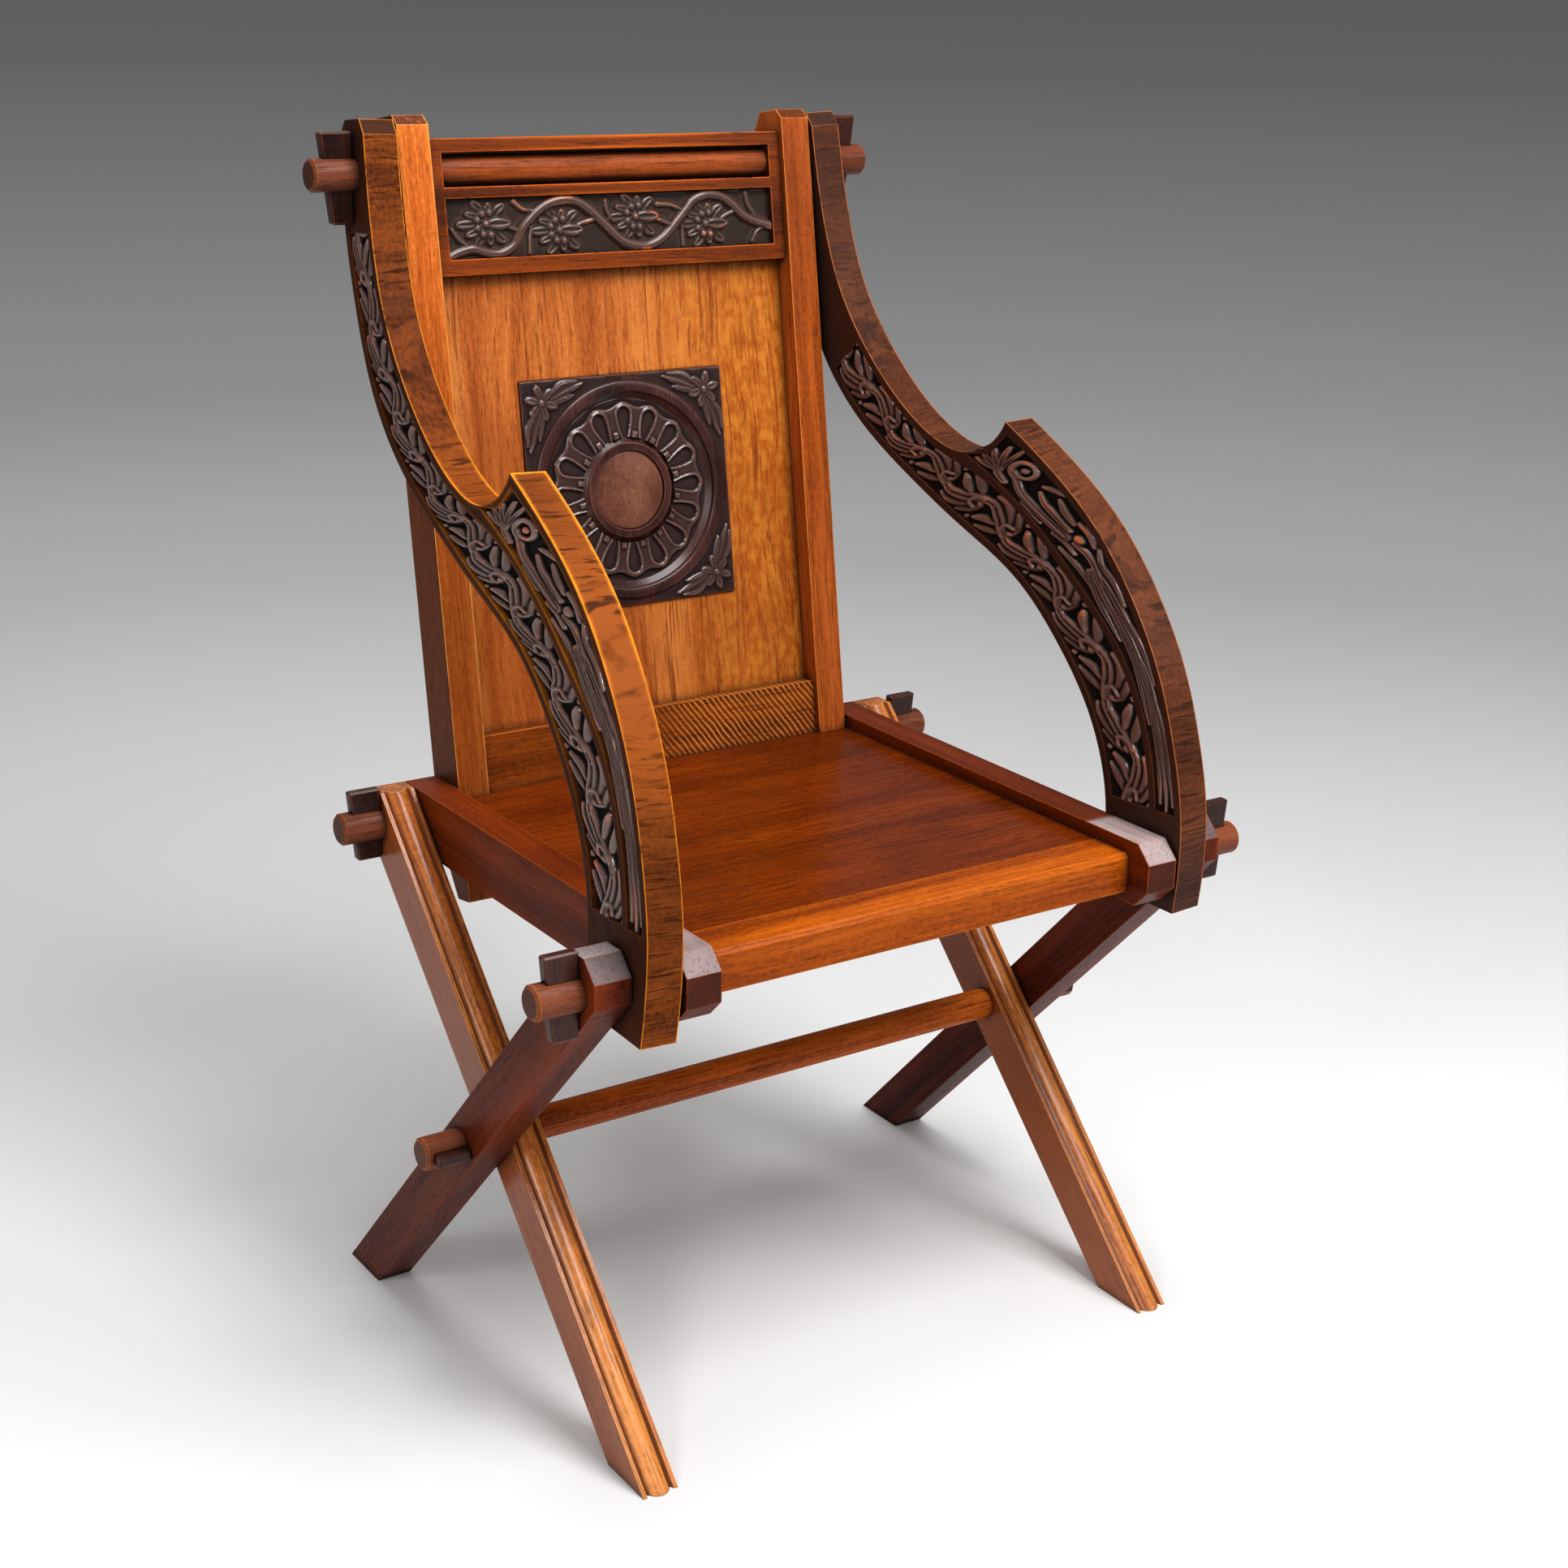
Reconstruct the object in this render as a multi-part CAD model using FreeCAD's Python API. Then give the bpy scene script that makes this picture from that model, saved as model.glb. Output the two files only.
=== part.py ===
import FreeCAD, Part
import math
import os

# Carved oak X-frame armchair whose members are threaded on four cross members and held by wedge keys.
# Millimetres, Z up. X runs across the chair, -Y is the front, the floor is Z = 0.
# It is drawn with Y = 0 near the front of the front feet; each piece is then moved so that the
# origin lies on the floor below the middle of the whole chair.

os.makedirs("parts", exist_ok=True)

# Stock
board = 27.0
leg_board = 28.0
rod_diameter = 25.0
rod_clearance = 0.25
joint_clearance = 0.2
overrun = 60.0

# Stack of members, from the middle outwards
stile_outer = 184.0
rail_gap = 3.0
arm_gap_at_seat = 2.4
arm_gap_at_top = 1.8
inner_leg_gap = 1.2
outer_leg_gap = 1.8

# Places of the pins in the side view, from the front of the front feet and from the floor
front_pin_y = 41.5
rear_pin_y = 402.5
seat_pin_z = 376.0
back_rake_degrees = 9.0
top_pin_distance = 486.0

# Seat
rail_height = 49.0
rail_front_reach = 40.0
rail_rear_reach = 28.0
rail_end_cut = 13.5
seat_above_pin = 14.0
front_rail_setback = 22.5
front_rail_depth = 38.0
front_rail_height = 30.0
front_rail_arris = 3.0
seat_panel_thickness = 14.0
seat_tongue_thickness = 6.0
seat_tongue_length = 7.0
seat_tongue_drop = 4.0
rear_rail_depth = 27.0
rear_rail_height = 25.0
rear_rail_inset = 12.0
rear_rail_tenon = 14.0
rear_rail_tenon_height = 13.0

# Back
stile_depth = 42.0
stile_width = 26.0
stile_above_pin = 40.5
stile_below_pin = 72.0
stile_heel_depth = 19.0
stile_heel_start = 24.0
stile_front_cut = 7.5
stile_rear_cut = 11.0
stile_rear_cut_drop = 17.0
back_rail_recess = 5.5
top_rail_thickness = 30.0
top_rail_above_pin = 23.0
top_rail_below_pin = 78.0
window_border = 11.0
window_height = 25.6
carved_band_height = 45.0
carved_band_drop = 21.0
carved_band_sink = 6.0
bottom_rail_thickness = 20.0
bottom_rail_above_pin = 10.5
bottom_rail_height = 45.5
back_tenon_length = 16.0
back_tenon_thickness = 9.0
back_tenon_shoulder = 12.0
panel_recess = 18.5
panel_thickness = 9.0
panel_tongue = 8.0

# Carved tile of the back panel
tile_side = 185.0
tile_above_pin = 232.5
tile_proud = 2.0
tile_sink = 5.0
tile_outer_ring_radius = 87.0
tile_ring_width = 9.0
tile_dish_depth = 4.5
tile_dish_wall_share = 1 / 3
tile_inner_ring_radius = 38.0
tile_inner_ring_width = 6.0
boss_radius = 31.0
boss_rise = 4.0
boss_socket = 3.0

# Legs
leg_head_width = 46.0
leg_head_cut = 14.0
inner_leg_top_width = 43.0
inner_foot_length = 51.5
outer_leg_top_width = 40.0
outer_foot_length = 50.7
outer_foot_reach = 16.9
moulding_depth = 6.5
moulding_edge_depth = 4.5
moulding_quirk_depth = 2.0
moulding_edge_width = 3.0
moulding_quirk_width = 1.8
leg_head_above_pin = 4.0
stretcher_side = 19.5
stretcher_arris = 1.2

# Rods beyond the members that they hold
top_rod_reach = 35.2
front_rod_reach = 34.8
rear_rod_reach = 34.3
cross_rod_reach = 31.8
rod_end_chamfer = 2.0

# Wedge keys
key_thickness = 8.5
key_wide = 26.0
key_narrow = 20.0
top_key_narrow = 17.5
key_chamfer = 1.2
key_clearance = 0.3
key_relief = 2.0
top_key_rise = 36.0
top_key_drop = 31.0
front_key_rise = 37.0
front_key_drop = 25.0
rear_key_rise = 29.0
rear_key_drop = 27.0
cross_key_front = 20.0
cross_key_back = 17.5
cross_key_wide = 28.0
cross_key_narrow = 17.0
right_top_key_driven = 5.0
right_front_key_driven = 6.0
left_front_key_driven = 4.0
left_cross_key_driven = 5.0

# Arms. Outline points are shares of the distance between the two pins of the arm,
# first along the line from the seat pin to the top pin, then across it towards the front.
arm_sweep_shares = [(1.014, 0.053), (0.942, 0.010), (0.833, -0.034), (0.704, -0.037),
                    (0.591, -0.005), (0.542, 0.031), (0.520, 0.076), (0.523, 0.125)]
arm_front_shares = [(0.523, 0.125), (0.442, 0.155), (0.341, 0.179), (0.243, 0.179), (0.153, 0.161),
                    (0.081, 0.131), (0.017, 0.0945), (-0.036, 0.049), (-0.076, 0.004)]
arm_foot_shares = [(-0.076, 0.004), (-0.034, -0.042), (0.035, -0.048), (0.0625, -0.0275)]
arm_rear_shares = [(0.0625, -0.0275), (0.117, 0.009), (0.181, 0.030), (0.264, 0.035), (0.367, 0.020),
                   (0.470, -0.027), (0.577, -0.0755), (0.687, -0.113), (0.780, -0.120),
                   (0.878, -0.097), (0.958, -0.064), (1.015, -0.031), (1.053, -0.004)]
arm_top_shares = [(1.053, -0.004), (1.058, 0.022), (1.034, 0.054), (1.014, 0.053)]
# Middle line of the fillet between the two carved channels, and the lines where the channels stop
arm_fillet_shares = [(0.532, 0.034), (0.475, 0.061), (0.390, 0.091), (0.300, 0.109), (0.200, 0.119),
                     (0.110, 0.096), (0.045, 0.058), (0.000, 0.020)]
channel_foot_shares = [(0.178, -0.114), (-0.032, 0.136)]
channel_head_outer_shares = [(1.0425, -0.167), (0.8625, 0.073)]
channel_head_inner_shares = [(0.759, -0.180), (0.758, 0.060)]
past_foot_share = -1
past_head_share = 2
arm_channel_border = 6.5
arm_fillet_width = 6.5
arm_channel_depth = 4.0

# Values that follow from the ones above
rake = math.radians(back_rake_degrees)
rod_radius = rod_diameter / 2
hole_radius = rod_radius + rod_clearance
stile_inner = stile_outer - stile_width
rail_inner = stile_outer + rail_gap
rail_outer = rail_inner + board
arm_inner_at_seat = rail_outer + arm_gap_at_seat
arm_inner_at_top = stile_outer + arm_gap_at_top
inner_leg_inner = rail_outer + inner_leg_gap
inner_leg_outer = inner_leg_inner + leg_board
outer_leg_inner = arm_inner_at_seat + board + outer_leg_gap
outer_leg_outer = outer_leg_inner + leg_board
front_rod_end = outer_leg_outer + front_rod_reach
rear_rod_end = inner_leg_outer + rear_rod_reach
cross_rod_end = outer_leg_outer + cross_rod_reach
top_pin_y = rear_pin_y + top_pin_distance * math.sin(rake)
top_pin_z = seat_pin_z + top_pin_distance * math.cos(rake)
arm_span = math.hypot(top_pin_y - front_pin_y, top_pin_z - seat_pin_z)
arm_lean = math.asin((arm_inner_at_seat - arm_inner_at_top) / arm_span)
top_rod_end = arm_inner_at_top + board + top_rod_reach
seat_top = seat_pin_z + seat_above_pin
front_rail_front = front_pin_y - rail_front_reach + front_rail_setback
front_rail_back = front_rail_front + front_rail_depth


def vector(x, y, z):
    return FreeCAD.Vector(x, y, z)


def box(x0, x1, y0, y1, z0, z1):
    return Part.makeBox(x1 - x0, y1 - y0, z1 - z0, vector(x0, y0, z0))


def rod(x0, x1, y, z, radius):
    return Part.makeCylinder(radius, x1 - x0, vector(x0, y, z), vector(1, 0, 0))


def prism(outline, x0, x1):
    """Solid between two planes across the chair, from an outline of (y, z) points."""
    points = [vector(x0, y, z) for y, z in outline]
    wire = Part.makePolygon(points + points[:1])
    return Part.Face(wire).extrude(vector(x1 - x0, 0, 0))


def curve_through(points):
    curve = Part.BSplineCurve()
    curve.interpolate(points)
    return curve.toShape()


def line_through(points):
    return [Part.LineSegment(a, b).toShape() for a, b in zip(points, points[1:])]


def chamfered_rod(x0, x1, y, z, radius):
    solid = rod(x0, x1, y, z, radius)
    rims = [edge for edge in solid.Edges if edge.Closed]
    return solid.makeChamfer(rod_end_chamfer, rims)


def mirrored(shape):
    return shape.mirror(vector(0, 0, 0), vector(1, 0, 0))


pieces = {}


def add(node, shape):
    solid = shape.removeSplitter()
    if solid.ShapeType == "Compound" and len(solid.Solids) == 1:
        solid = solid.Solids[0]
    pieces[node] = solid


def add_pair(node, shape):
    """The shape is the one on the +X side, which is the sitter's left."""
    add(node + "_left", shape)
    add(node + "_right", mirrored(shape))


def to_back(shape):
    """Turns a shape from the upright frame of the back, with the rear pin as its origin, into place."""
    placed = shape.copy()
    placed.rotate(vector(0, 0, 0), vector(1, 0, 0), -back_rake_degrees)
    placed.translate(vector(0, rear_pin_y, seat_pin_z))
    return placed


# The back is drawn upright: y runs back from the middle of the stile, z runs up from the rear pin
back_front = -stile_depth / 2
rail_face = back_front + back_rail_recess
panel_face = back_front + panel_recess
panel_rear = panel_face + panel_thickness
bottom_rail_top = bottom_rail_above_pin + bottom_rail_height
top_rail_bottom = top_pin_distance - top_rail_below_pin
top_rail_top = top_pin_distance + top_rail_above_pin


def back_tenon(side, face, thickness, bottom, top):
    """Stub tenon at one end of a cross rail of the back; side is +1 or -1."""
    middle = face + thickness / 2
    near = side * (stile_inner - joint_clearance)
    far = side * (stile_inner + back_tenon_length)
    return box(min(near, far), max(near, far), middle - back_tenon_thickness / 2,
               middle + back_tenon_thickness / 2, bottom + back_tenon_shoulder, top - back_tenon_shoulder)


def back_mortise(face, thickness, bottom, top):
    middle = face + thickness / 2
    return box(stile_inner - overrun, stile_inner + back_tenon_length + joint_clearance,
               middle - back_tenon_thickness / 2 - joint_clearance,
               middle + back_tenon_thickness / 2 + joint_clearance,
               bottom + back_tenon_shoulder - joint_clearance, top - back_tenon_shoulder + joint_clearance)


def panel_groove(reach_x, bottom, top):
    """Room for the tongue of the back panel in the stiles and rails round it."""
    return box(-reach_x, reach_x, panel_face - joint_clearance, panel_rear + joint_clearance, bottom, top)


panel_reach = stile_inner + panel_tongue
panel_bottom = bottom_rail_top - panel_tongue
panel_top = top_rail_bottom + panel_tongue
groove = panel_groove(panel_reach + joint_clearance, panel_bottom - joint_clearance,
                      panel_top + joint_clearance)


def back_stile():
    top = top_pin_distance + stile_above_pin
    rear = stile_depth / 2
    outline = [(back_front, -stile_below_pin), (back_front + stile_heel_depth, -stile_below_pin),
               (rear, -stile_heel_start), (rear, top - stile_rear_cut_drop),
               (rear - stile_rear_cut, top), (back_front + stile_front_cut, top),
               (back_front, top - stile_front_cut)]
    stile = prism(outline, stile_inner, stile_outer)
    for height in (0, top_pin_distance):
        stile = stile.cut(rod(0, stile_outer + overrun, 0, height, hole_radius))
    stile = stile.cut(groove)
    stile = stile.cut(back_mortise(rail_face, top_rail_thickness, top_rail_bottom,
                                   top_pin_distance - window_height))
    stile = stile.cut(back_mortise(rail_face, bottom_rail_thickness, bottom_rail_above_pin, bottom_rail_top))
    return to_back(stile)


def top_rail():
    rail = box(-stile_inner, stile_inner, rail_face, rail_face + top_rail_thickness,
               top_rail_bottom, top_rail_top)
    for side in (1, -1):
        rail = rail.fuse(back_tenon(side, rail_face, top_rail_thickness, top_rail_bottom,
                                    top_pin_distance - window_height))
    rail = rail.cut(rod(-stile_outer, stile_outer, 0, top_pin_distance, hole_radius))
    window_reach = stile_inner - window_border
    rail = rail.cut(box(-window_reach, window_reach, -overrun, overrun,
                        top_pin_distance - window_height / 2, top_pin_distance + window_height / 2))
    band_top = top_pin_distance - carved_band_drop
    rail = rail.cut(box(-window_reach, window_reach, rail_face - overrun, rail_face + carved_band_sink,
                        band_top - carved_band_height, band_top))
    return to_back(rail.cut(groove))


def bottom_rail():
    """Rail that comes down behind the seat and is hollowed where it lies over the rear rod."""
    rail = box(-stile_inner, stile_inner, rail_face, rail_face + bottom_rail_thickness,
               bottom_rail_above_pin, bottom_rail_top)
    for side in (1, -1):
        rail = rail.fuse(back_tenon(side, rail_face, bottom_rail_thickness, bottom_rail_above_pin,
                                    bottom_rail_top))
    return to_back(rail.cut(groove).cut(rod(-stile_outer, stile_outer, 0, 0, hole_radius)))


def back_panel():
    panel = box(-panel_reach, panel_reach, panel_face, panel_rear, panel_bottom, panel_top)
    half = tile_side / 2 + joint_clearance
    return to_back(panel.cut(box(-half, half, panel_face - overrun, panel_face + tile_sink,
                                 tile_above_pin - half, tile_above_pin + half)))


def turned(profile, height):
    """Solid turned on an axis that runs through the back at the given height; profile is (radius, y)."""
    points = [vector(radius, y, height) for radius, y in profile]
    face = Part.Face(Part.makePolygon(points + points[:1]))
    return face.revolve(vector(0, 0, height), vector(0, 1, 0), 360)


def carved_tile():
    """Square tile with a flat ring, a dished ring with a raised inner ring, and a socket for the boss."""
    face = panel_face - tile_proud
    half = tile_side / 2
    tile = box(-half, half, face, panel_face + tile_sink, tile_above_pin - half, tile_above_pin + half)
    dish_outer = tile_outer_ring_radius - tile_ring_width
    dish_inner = tile_inner_ring_radius
    ring_inner = tile_inner_ring_radius - tile_inner_ring_width
    wall = face + tile_dish_depth * tile_dish_wall_share
    floor = face + tile_dish_depth
    dish = [(dish_outer, face - overrun), (dish_outer, wall), (dish_outer - tile_dish_depth, floor),
            (dish_inner + tile_dish_depth, floor), (dish_inner, wall), (dish_inner, face - overrun)]
    tile = tile.cut(turned(dish, tile_above_pin))
    socket = [(0, face - overrun), (ring_inner, face - overrun), (ring_inner, face + boss_socket),
              (0, face + boss_socket)]
    return to_back(tile.cut(turned(socket, tile_above_pin)))


def tile_boss():
    """Low dome that sits in the socket of the tile."""
    base = panel_face - tile_proud + boss_socket
    rim = base - boss_socket / 2
    crown = rim - boss_rise
    radius = boss_radius
    sphere = (radius ** 2 + boss_rise ** 2) / (2 * boss_rise)
    middle = radius / 2
    points = [vector(0, base, tile_above_pin), vector(radius, base, tile_above_pin),
              vector(radius, rim, tile_above_pin), vector(0, crown, tile_above_pin)]
    bulge = vector(middle, crown + sphere - math.sqrt(sphere ** 2 - middle ** 2), tile_above_pin)
    edges = line_through(points[:3]) + [Part.Arc(points[2], bulge, points[3]).toShape()]
    edges = edges + line_through([points[3], points[0]])
    face = Part.Face(Part.Wire(edges))
    return to_back(face.revolve(vector(0, 0, tile_above_pin), vector(0, 1, 0), 360))


# Seat frame and panel
rail_half = rail_height / 2
rail_front = front_pin_y - rail_front_reach
rail_rear = rear_pin_y + rail_rear_reach
rail_foot_y = rear_pin_y + rail_face * math.cos(rake) + bottom_rail_above_pin * math.sin(rake)
panel_edge_y = rail_foot_y - joint_clearance
tongue_top = seat_top - seat_tongue_drop
tongue_bottom = tongue_top - seat_tongue_thickness
rear_rail_top = seat_top - seat_panel_thickness
rear_rail_bottom = rear_rail_top - rear_rail_height
stile_front_low = rear_pin_y - stile_depth / 2 / math.cos(rake) - rear_rail_height * math.tan(rake)
rear_rail_back = stile_front_low - joint_clearance
rear_rail_middle = (rear_rail_top + rear_rail_bottom) / 2


def rear_rail_joint(reach, grown):
    """Stub tenon of the rear rail, or with a clearance its mortise."""
    half = rear_rail_tenon_height / 2 + grown
    return box(-reach, reach, rear_rail_back - rear_rail_inset - grown,
               rear_rail_back - joint_clearance + grown, rear_rail_middle - half, rear_rail_middle + half)


def seat_side_rail():
    low = seat_pin_z - rail_half
    high = seat_pin_z + rail_half
    outline = [(rail_front + rail_end_cut, low), (rail_rear - rail_end_cut, low),
               (rail_rear, low + rail_end_cut), (rail_rear, high - rail_end_cut),
               (rail_rear - rail_end_cut, high), (rail_front + rail_end_cut, high),
               (rail_front, high - rail_end_cut), (rail_front, low + rail_end_cut)]
    rail = prism(outline, rail_inner, rail_outer)
    for pin_y in (front_pin_y, rear_pin_y):
        rail = rail.cut(rod(rail_inner - overrun, rail_outer + overrun, pin_y, seat_pin_z, hole_radius))
    reach = rail_inner + seat_tongue_length + joint_clearance
    rail = rail.cut(box(0, reach, front_rail_back - seat_tongue_length - joint_clearance,
                        panel_edge_y + joint_clearance, tongue_bottom - joint_clearance,
                        tongue_top + joint_clearance))
    return rail.cut(rear_rail_joint(rail_inner + rear_rail_tenon + joint_clearance, joint_clearance))


def seat_front_rail():
    """Bar between the side rails whose ends are turned down to the round tenons that carry the keys."""
    low = seat_top - front_rail_height
    outline = [(front_rail_front, low), (front_rail_back, low), (front_rail_back, seat_top),
               (front_rail_front + front_rail_arris, seat_top),
               (front_rail_front, seat_top - front_rail_arris)]
    rail = prism(outline, -rail_inner, rail_inner)
    rail = rail.fuse(chamfered_rod(-front_rod_end, front_rod_end, front_pin_y, seat_pin_z, rod_radius))
    return rail.cut(box(-rail_inner, rail_inner, front_rail_back - seat_tongue_length - joint_clearance,
                        front_rail_back + overrun, tongue_bottom - joint_clearance,
                        tongue_top + joint_clearance))


def seat_rear_rail():
    rail = box(-rail_inner, rail_inner, rear_rail_back - rear_rail_depth, rear_rail_back,
               rear_rail_bottom, rear_rail_top)
    return rail.fuse(rear_rail_joint(rail_inner + rear_rail_tenon, 0))


def seat_panel():
    """Panel with a tongue along its sides and front, cut round the stiles at the back."""
    width = rail_inner - joint_clearance
    panel = box(-width, width, front_rail_back + joint_clearance, panel_edge_y,
                seat_top - seat_panel_thickness, seat_top)
    reach = rail_inner + seat_tongue_length
    panel = panel.fuse(box(-reach, reach, front_rail_back - seat_tongue_length, panel_edge_y,
                           tongue_bottom, tongue_top))
    notch = box(stile_inner - joint_clearance, reach + overrun, back_front - joint_clearance,
                back_front + overrun, -stile_below_pin, stile_below_pin)
    for shape in (notch, mirrored(notch)):
        panel = panel.cut(to_back(shape))
    return panel


# Legs, which cross below the seat
inner_foot_front = rail_front
inner_foot_rear = inner_foot_front + inner_foot_length
outer_foot_rear = rear_pin_y + outer_foot_reach
outer_foot_front = outer_foot_rear - outer_foot_length


def leg_edge(pin_y, corner_y, top_width, side):
    """Long edge of a leg, from beside its pin to a corner of its foot; side is +1 for the front edge."""
    run = pin_y - corner_y
    turn = math.atan2(seat_pin_z, run) + side * math.asin(top_width / 2 / math.hypot(run, seat_pin_z))
    length = math.sqrt(run ** 2 + seat_pin_z ** 2 - (top_width / 2) ** 2)
    return (corner_y + length * math.cos(turn), length * math.sin(turn)), (corner_y, 0)


def stretched(edge, extra_top, extra_foot):
    """The two ends of an edge moved apart along its own line."""
    top, foot = edge
    length = math.hypot(foot[0] - top[0], foot[1] - top[1])
    along = ((foot[0] - top[0]) / length, (foot[1] - top[1]) / length)
    return ((top[0] - along[0] * extra_top, top[1] - along[1] * extra_top),
            (foot[0] + along[0] * extra_foot, foot[1] + along[1] * extra_foot))


def crossing_point():
    """Where the middle lines of the two legs of one side cross."""
    inner_foot = (inner_foot_front + inner_foot_rear) / 2
    outer_foot = (outer_foot_front + outer_foot_rear) / 2
    inner_slope = seat_pin_z / (rear_pin_y - inner_foot)
    outer_slope = seat_pin_z / (outer_foot - front_pin_y)
    y = (outer_slope * outer_foot + inner_slope * inner_foot) / (inner_slope + outer_slope)
    return y, inner_slope * (y - inner_foot)


cross_y, cross_z = crossing_point()


def moulding(edge, x0, x1):
    """Bead between two quirks and two flat edges, run along the front edge of the inner leg."""
    top, foot = stretched(edge, overrun, overrun)
    length = math.hypot(foot[0] - top[0], foot[1] - top[1])
    along = ((foot[0] - top[0]) / length, (foot[1] - top[1]) / length)
    out = (along[1], -along[0])
    half = (x1 - x0) / 2
    middle = (x0 + x1) / 2

    def at(across, depth):
        lift = depth - moulding_depth
        return vector(middle + across, top[0] + out[0] * lift, top[1] + out[1] * lift)

    flat = half - moulding_edge_width
    bead = flat - moulding_quirk_width
    points = [at(-bead, moulding_quirk_depth), at(-flat, moulding_edge_depth), at(-half, moulding_edge_depth),
              at(-half, 0), at(half, 0), at(half, moulding_edge_depth), at(flat, moulding_edge_depth),
              at(bead, moulding_quirk_depth)]
    edges = line_through(points)
    edges.append(Part.Arc(points[-1], at(0, moulding_depth), points[0]).toShape())
    return Part.Face(Part.Wire(edges)).extrude(vector(0, along[0] * length, along[1] * length))


def inner_leg():
    """Leg from the rear pin down to the front foot, next to the side rail, moulded on its front edge."""
    edge = leg_edge(rear_pin_y, inner_foot_front, inner_leg_top_width, 1)
    length = math.hypot(edge[1][0] - edge[0][0], edge[1][1] - edge[0][1])
    square = ((edge[1][1] - edge[0][1]) / length, (edge[0][0] - edge[1][0]) / length)
    set_back = [(y - square[0] * moulding_depth, z - square[1] * moulding_depth) for y, z in edge]
    front = stretched(set_back, overrun, overrun)
    rear = stretched(leg_edge(rear_pin_y, inner_foot_rear, inner_leg_top_width, -1), overrun, overrun)
    leg = prism([front[0], front[1], rear[1], rear[0]], inner_leg_inner, inner_leg_outer)
    leg = leg.fuse(moulding(edge, inner_leg_inner, inner_leg_outer))
    high = seat_pin_z + rail_half
    bounds = [(-overrun, 0), (rail_rear, 0), (rail_rear, high - rail_end_cut),
              (rail_rear - rail_end_cut, high), (-overrun, high)]
    leg = leg.common(prism(bounds, inner_leg_inner, inner_leg_outer))
    leg = leg.cut(rod(0, inner_leg_outer + overrun, rear_pin_y, seat_pin_z, hole_radius))
    return leg.cut(rod(0, inner_leg_outer + overrun, cross_y, cross_z, hole_radius))


def outer_leg():
    """Leg from the front pin down to the rear foot, outside the arm, with an eight-sided head."""
    front = stretched(leg_edge(front_pin_y, outer_foot_front, outer_leg_top_width, 1), 0, overrun)
    rear = stretched(leg_edge(front_pin_y, outer_foot_rear, outer_leg_top_width, -1), 0, overrun)
    leg = prism([front[0], front[1], rear[1], rear[0]], outer_leg_inner, outer_leg_outer)
    half = leg_head_width / 2
    cut = half - leg_head_cut
    corners = [(-half, -cut), (-cut, -half), (cut, -half), (half, -cut), (half, cut), (cut, half),
               (-cut, half), (-half, cut)]
    head_z = seat_pin_z + leg_head_above_pin
    head = prism([(front_pin_y + y, head_z + z) for y, z in corners], outer_leg_inner, outer_leg_outer)
    leg = leg.fuse(head)
    leg = leg.cut(box(0, outer_leg_outer + overrun, 0, outer_foot_rear + overrun, -2 * overrun, 0))
    leg = leg.cut(rod(0, outer_leg_outer + overrun, front_pin_y, seat_pin_z, hole_radius))
    return leg.cut(rod(0, outer_leg_outer + overrun, cross_y, cross_z, hole_radius))


# Arms, which lean in towards the back
arm_along = ((top_pin_y - front_pin_y) / arm_span, (top_pin_z - seat_pin_z) / arm_span)
arm_across = (-arm_along[1], arm_along[0])


def arm_point(share, x=0):
    along, across = (value * arm_span for value in share)
    return vector(x, front_pin_y + arm_along[0] * along + arm_across[0] * across,
                  seat_pin_z + arm_along[1] * along + arm_across[1] * across)


def arm_curve(shares):
    return curve_through([arm_point(share) for share in shares])


def arm_lines(shares):
    return line_through([arm_point(share) for share in shares])


def leaned(shape):
    """Stands a flat arm shape against the side rail and tips it in towards the back."""
    placed = shape.copy()
    placed.translate(vector(arm_inner_at_seat, 0, 0))
    placed.rotate(vector(arm_inner_at_seat, front_pin_y, seat_pin_z), vector(0, arm_across[0], arm_across[1]),
                  math.degrees(arm_lean))
    return placed


def inset(shares, distance):
    """Points of a line of the arm moved square to it; a positive distance is into the arm from its edge."""
    points = [arm_point(share) for share in shares]
    moved = []
    for index, point in enumerate(points):
        ahead = points[min(index + 1, len(points) - 1)] - points[max(index - 1, 0)]
        moved.append(point + vector(1, 0, 0).cross(ahead).normalize() * distance)
    return moved


def beyond(shares, far_share):
    """Face that covers the arm from a stop line of the channels to past one end of the arm."""
    far = [(far_share, shares[1][1]), (far_share, shares[0][1])]
    points = [arm_point(share) for share in shares + far]
    return Part.Face(Part.makePolygon(points + points[:1]))


def arm_channels(head_shares):
    """The long channel behind the fillet and the short one before it, on one face of the arm."""
    rear = inset(arm_rear_shares, arm_channel_border)
    sweep = inset(arm_sweep_shares, arm_channel_border)
    front = inset(arm_front_shares, arm_channel_border)
    behind_fillet = inset(arm_fillet_shares, arm_fillet_width / 2)
    before_fillet = inset(arm_fillet_shares, -arm_fillet_width / 2)
    descent = sweep[:5] + behind_fillet[1:]
    tip = sweep[-1] + front[0] - arm_point(arm_front_shares[0])
    wires = [[curve_through(rear)] + line_through([rear[-1], descent[0]]) + [curve_through(descent)]
             + line_through([descent[-1], rear[0]]),
             [curve_through([tip] + front[1:])] + line_through([front[-1], before_fillet[-1]])
             + [curve_through(before_fillet[::-1])] + line_through([before_fillet[0], sweep[-2], tip])]
    channels = []
    for wire in wires:
        channel = Part.Face(Part.Wire(wire))
        for waste in (beyond(channel_foot_shares, past_foot_share), beyond(head_shares, past_head_share)):
            channel = channel.cut(waste)
        channels.append(channel.Faces[0])
    return channels


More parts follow.
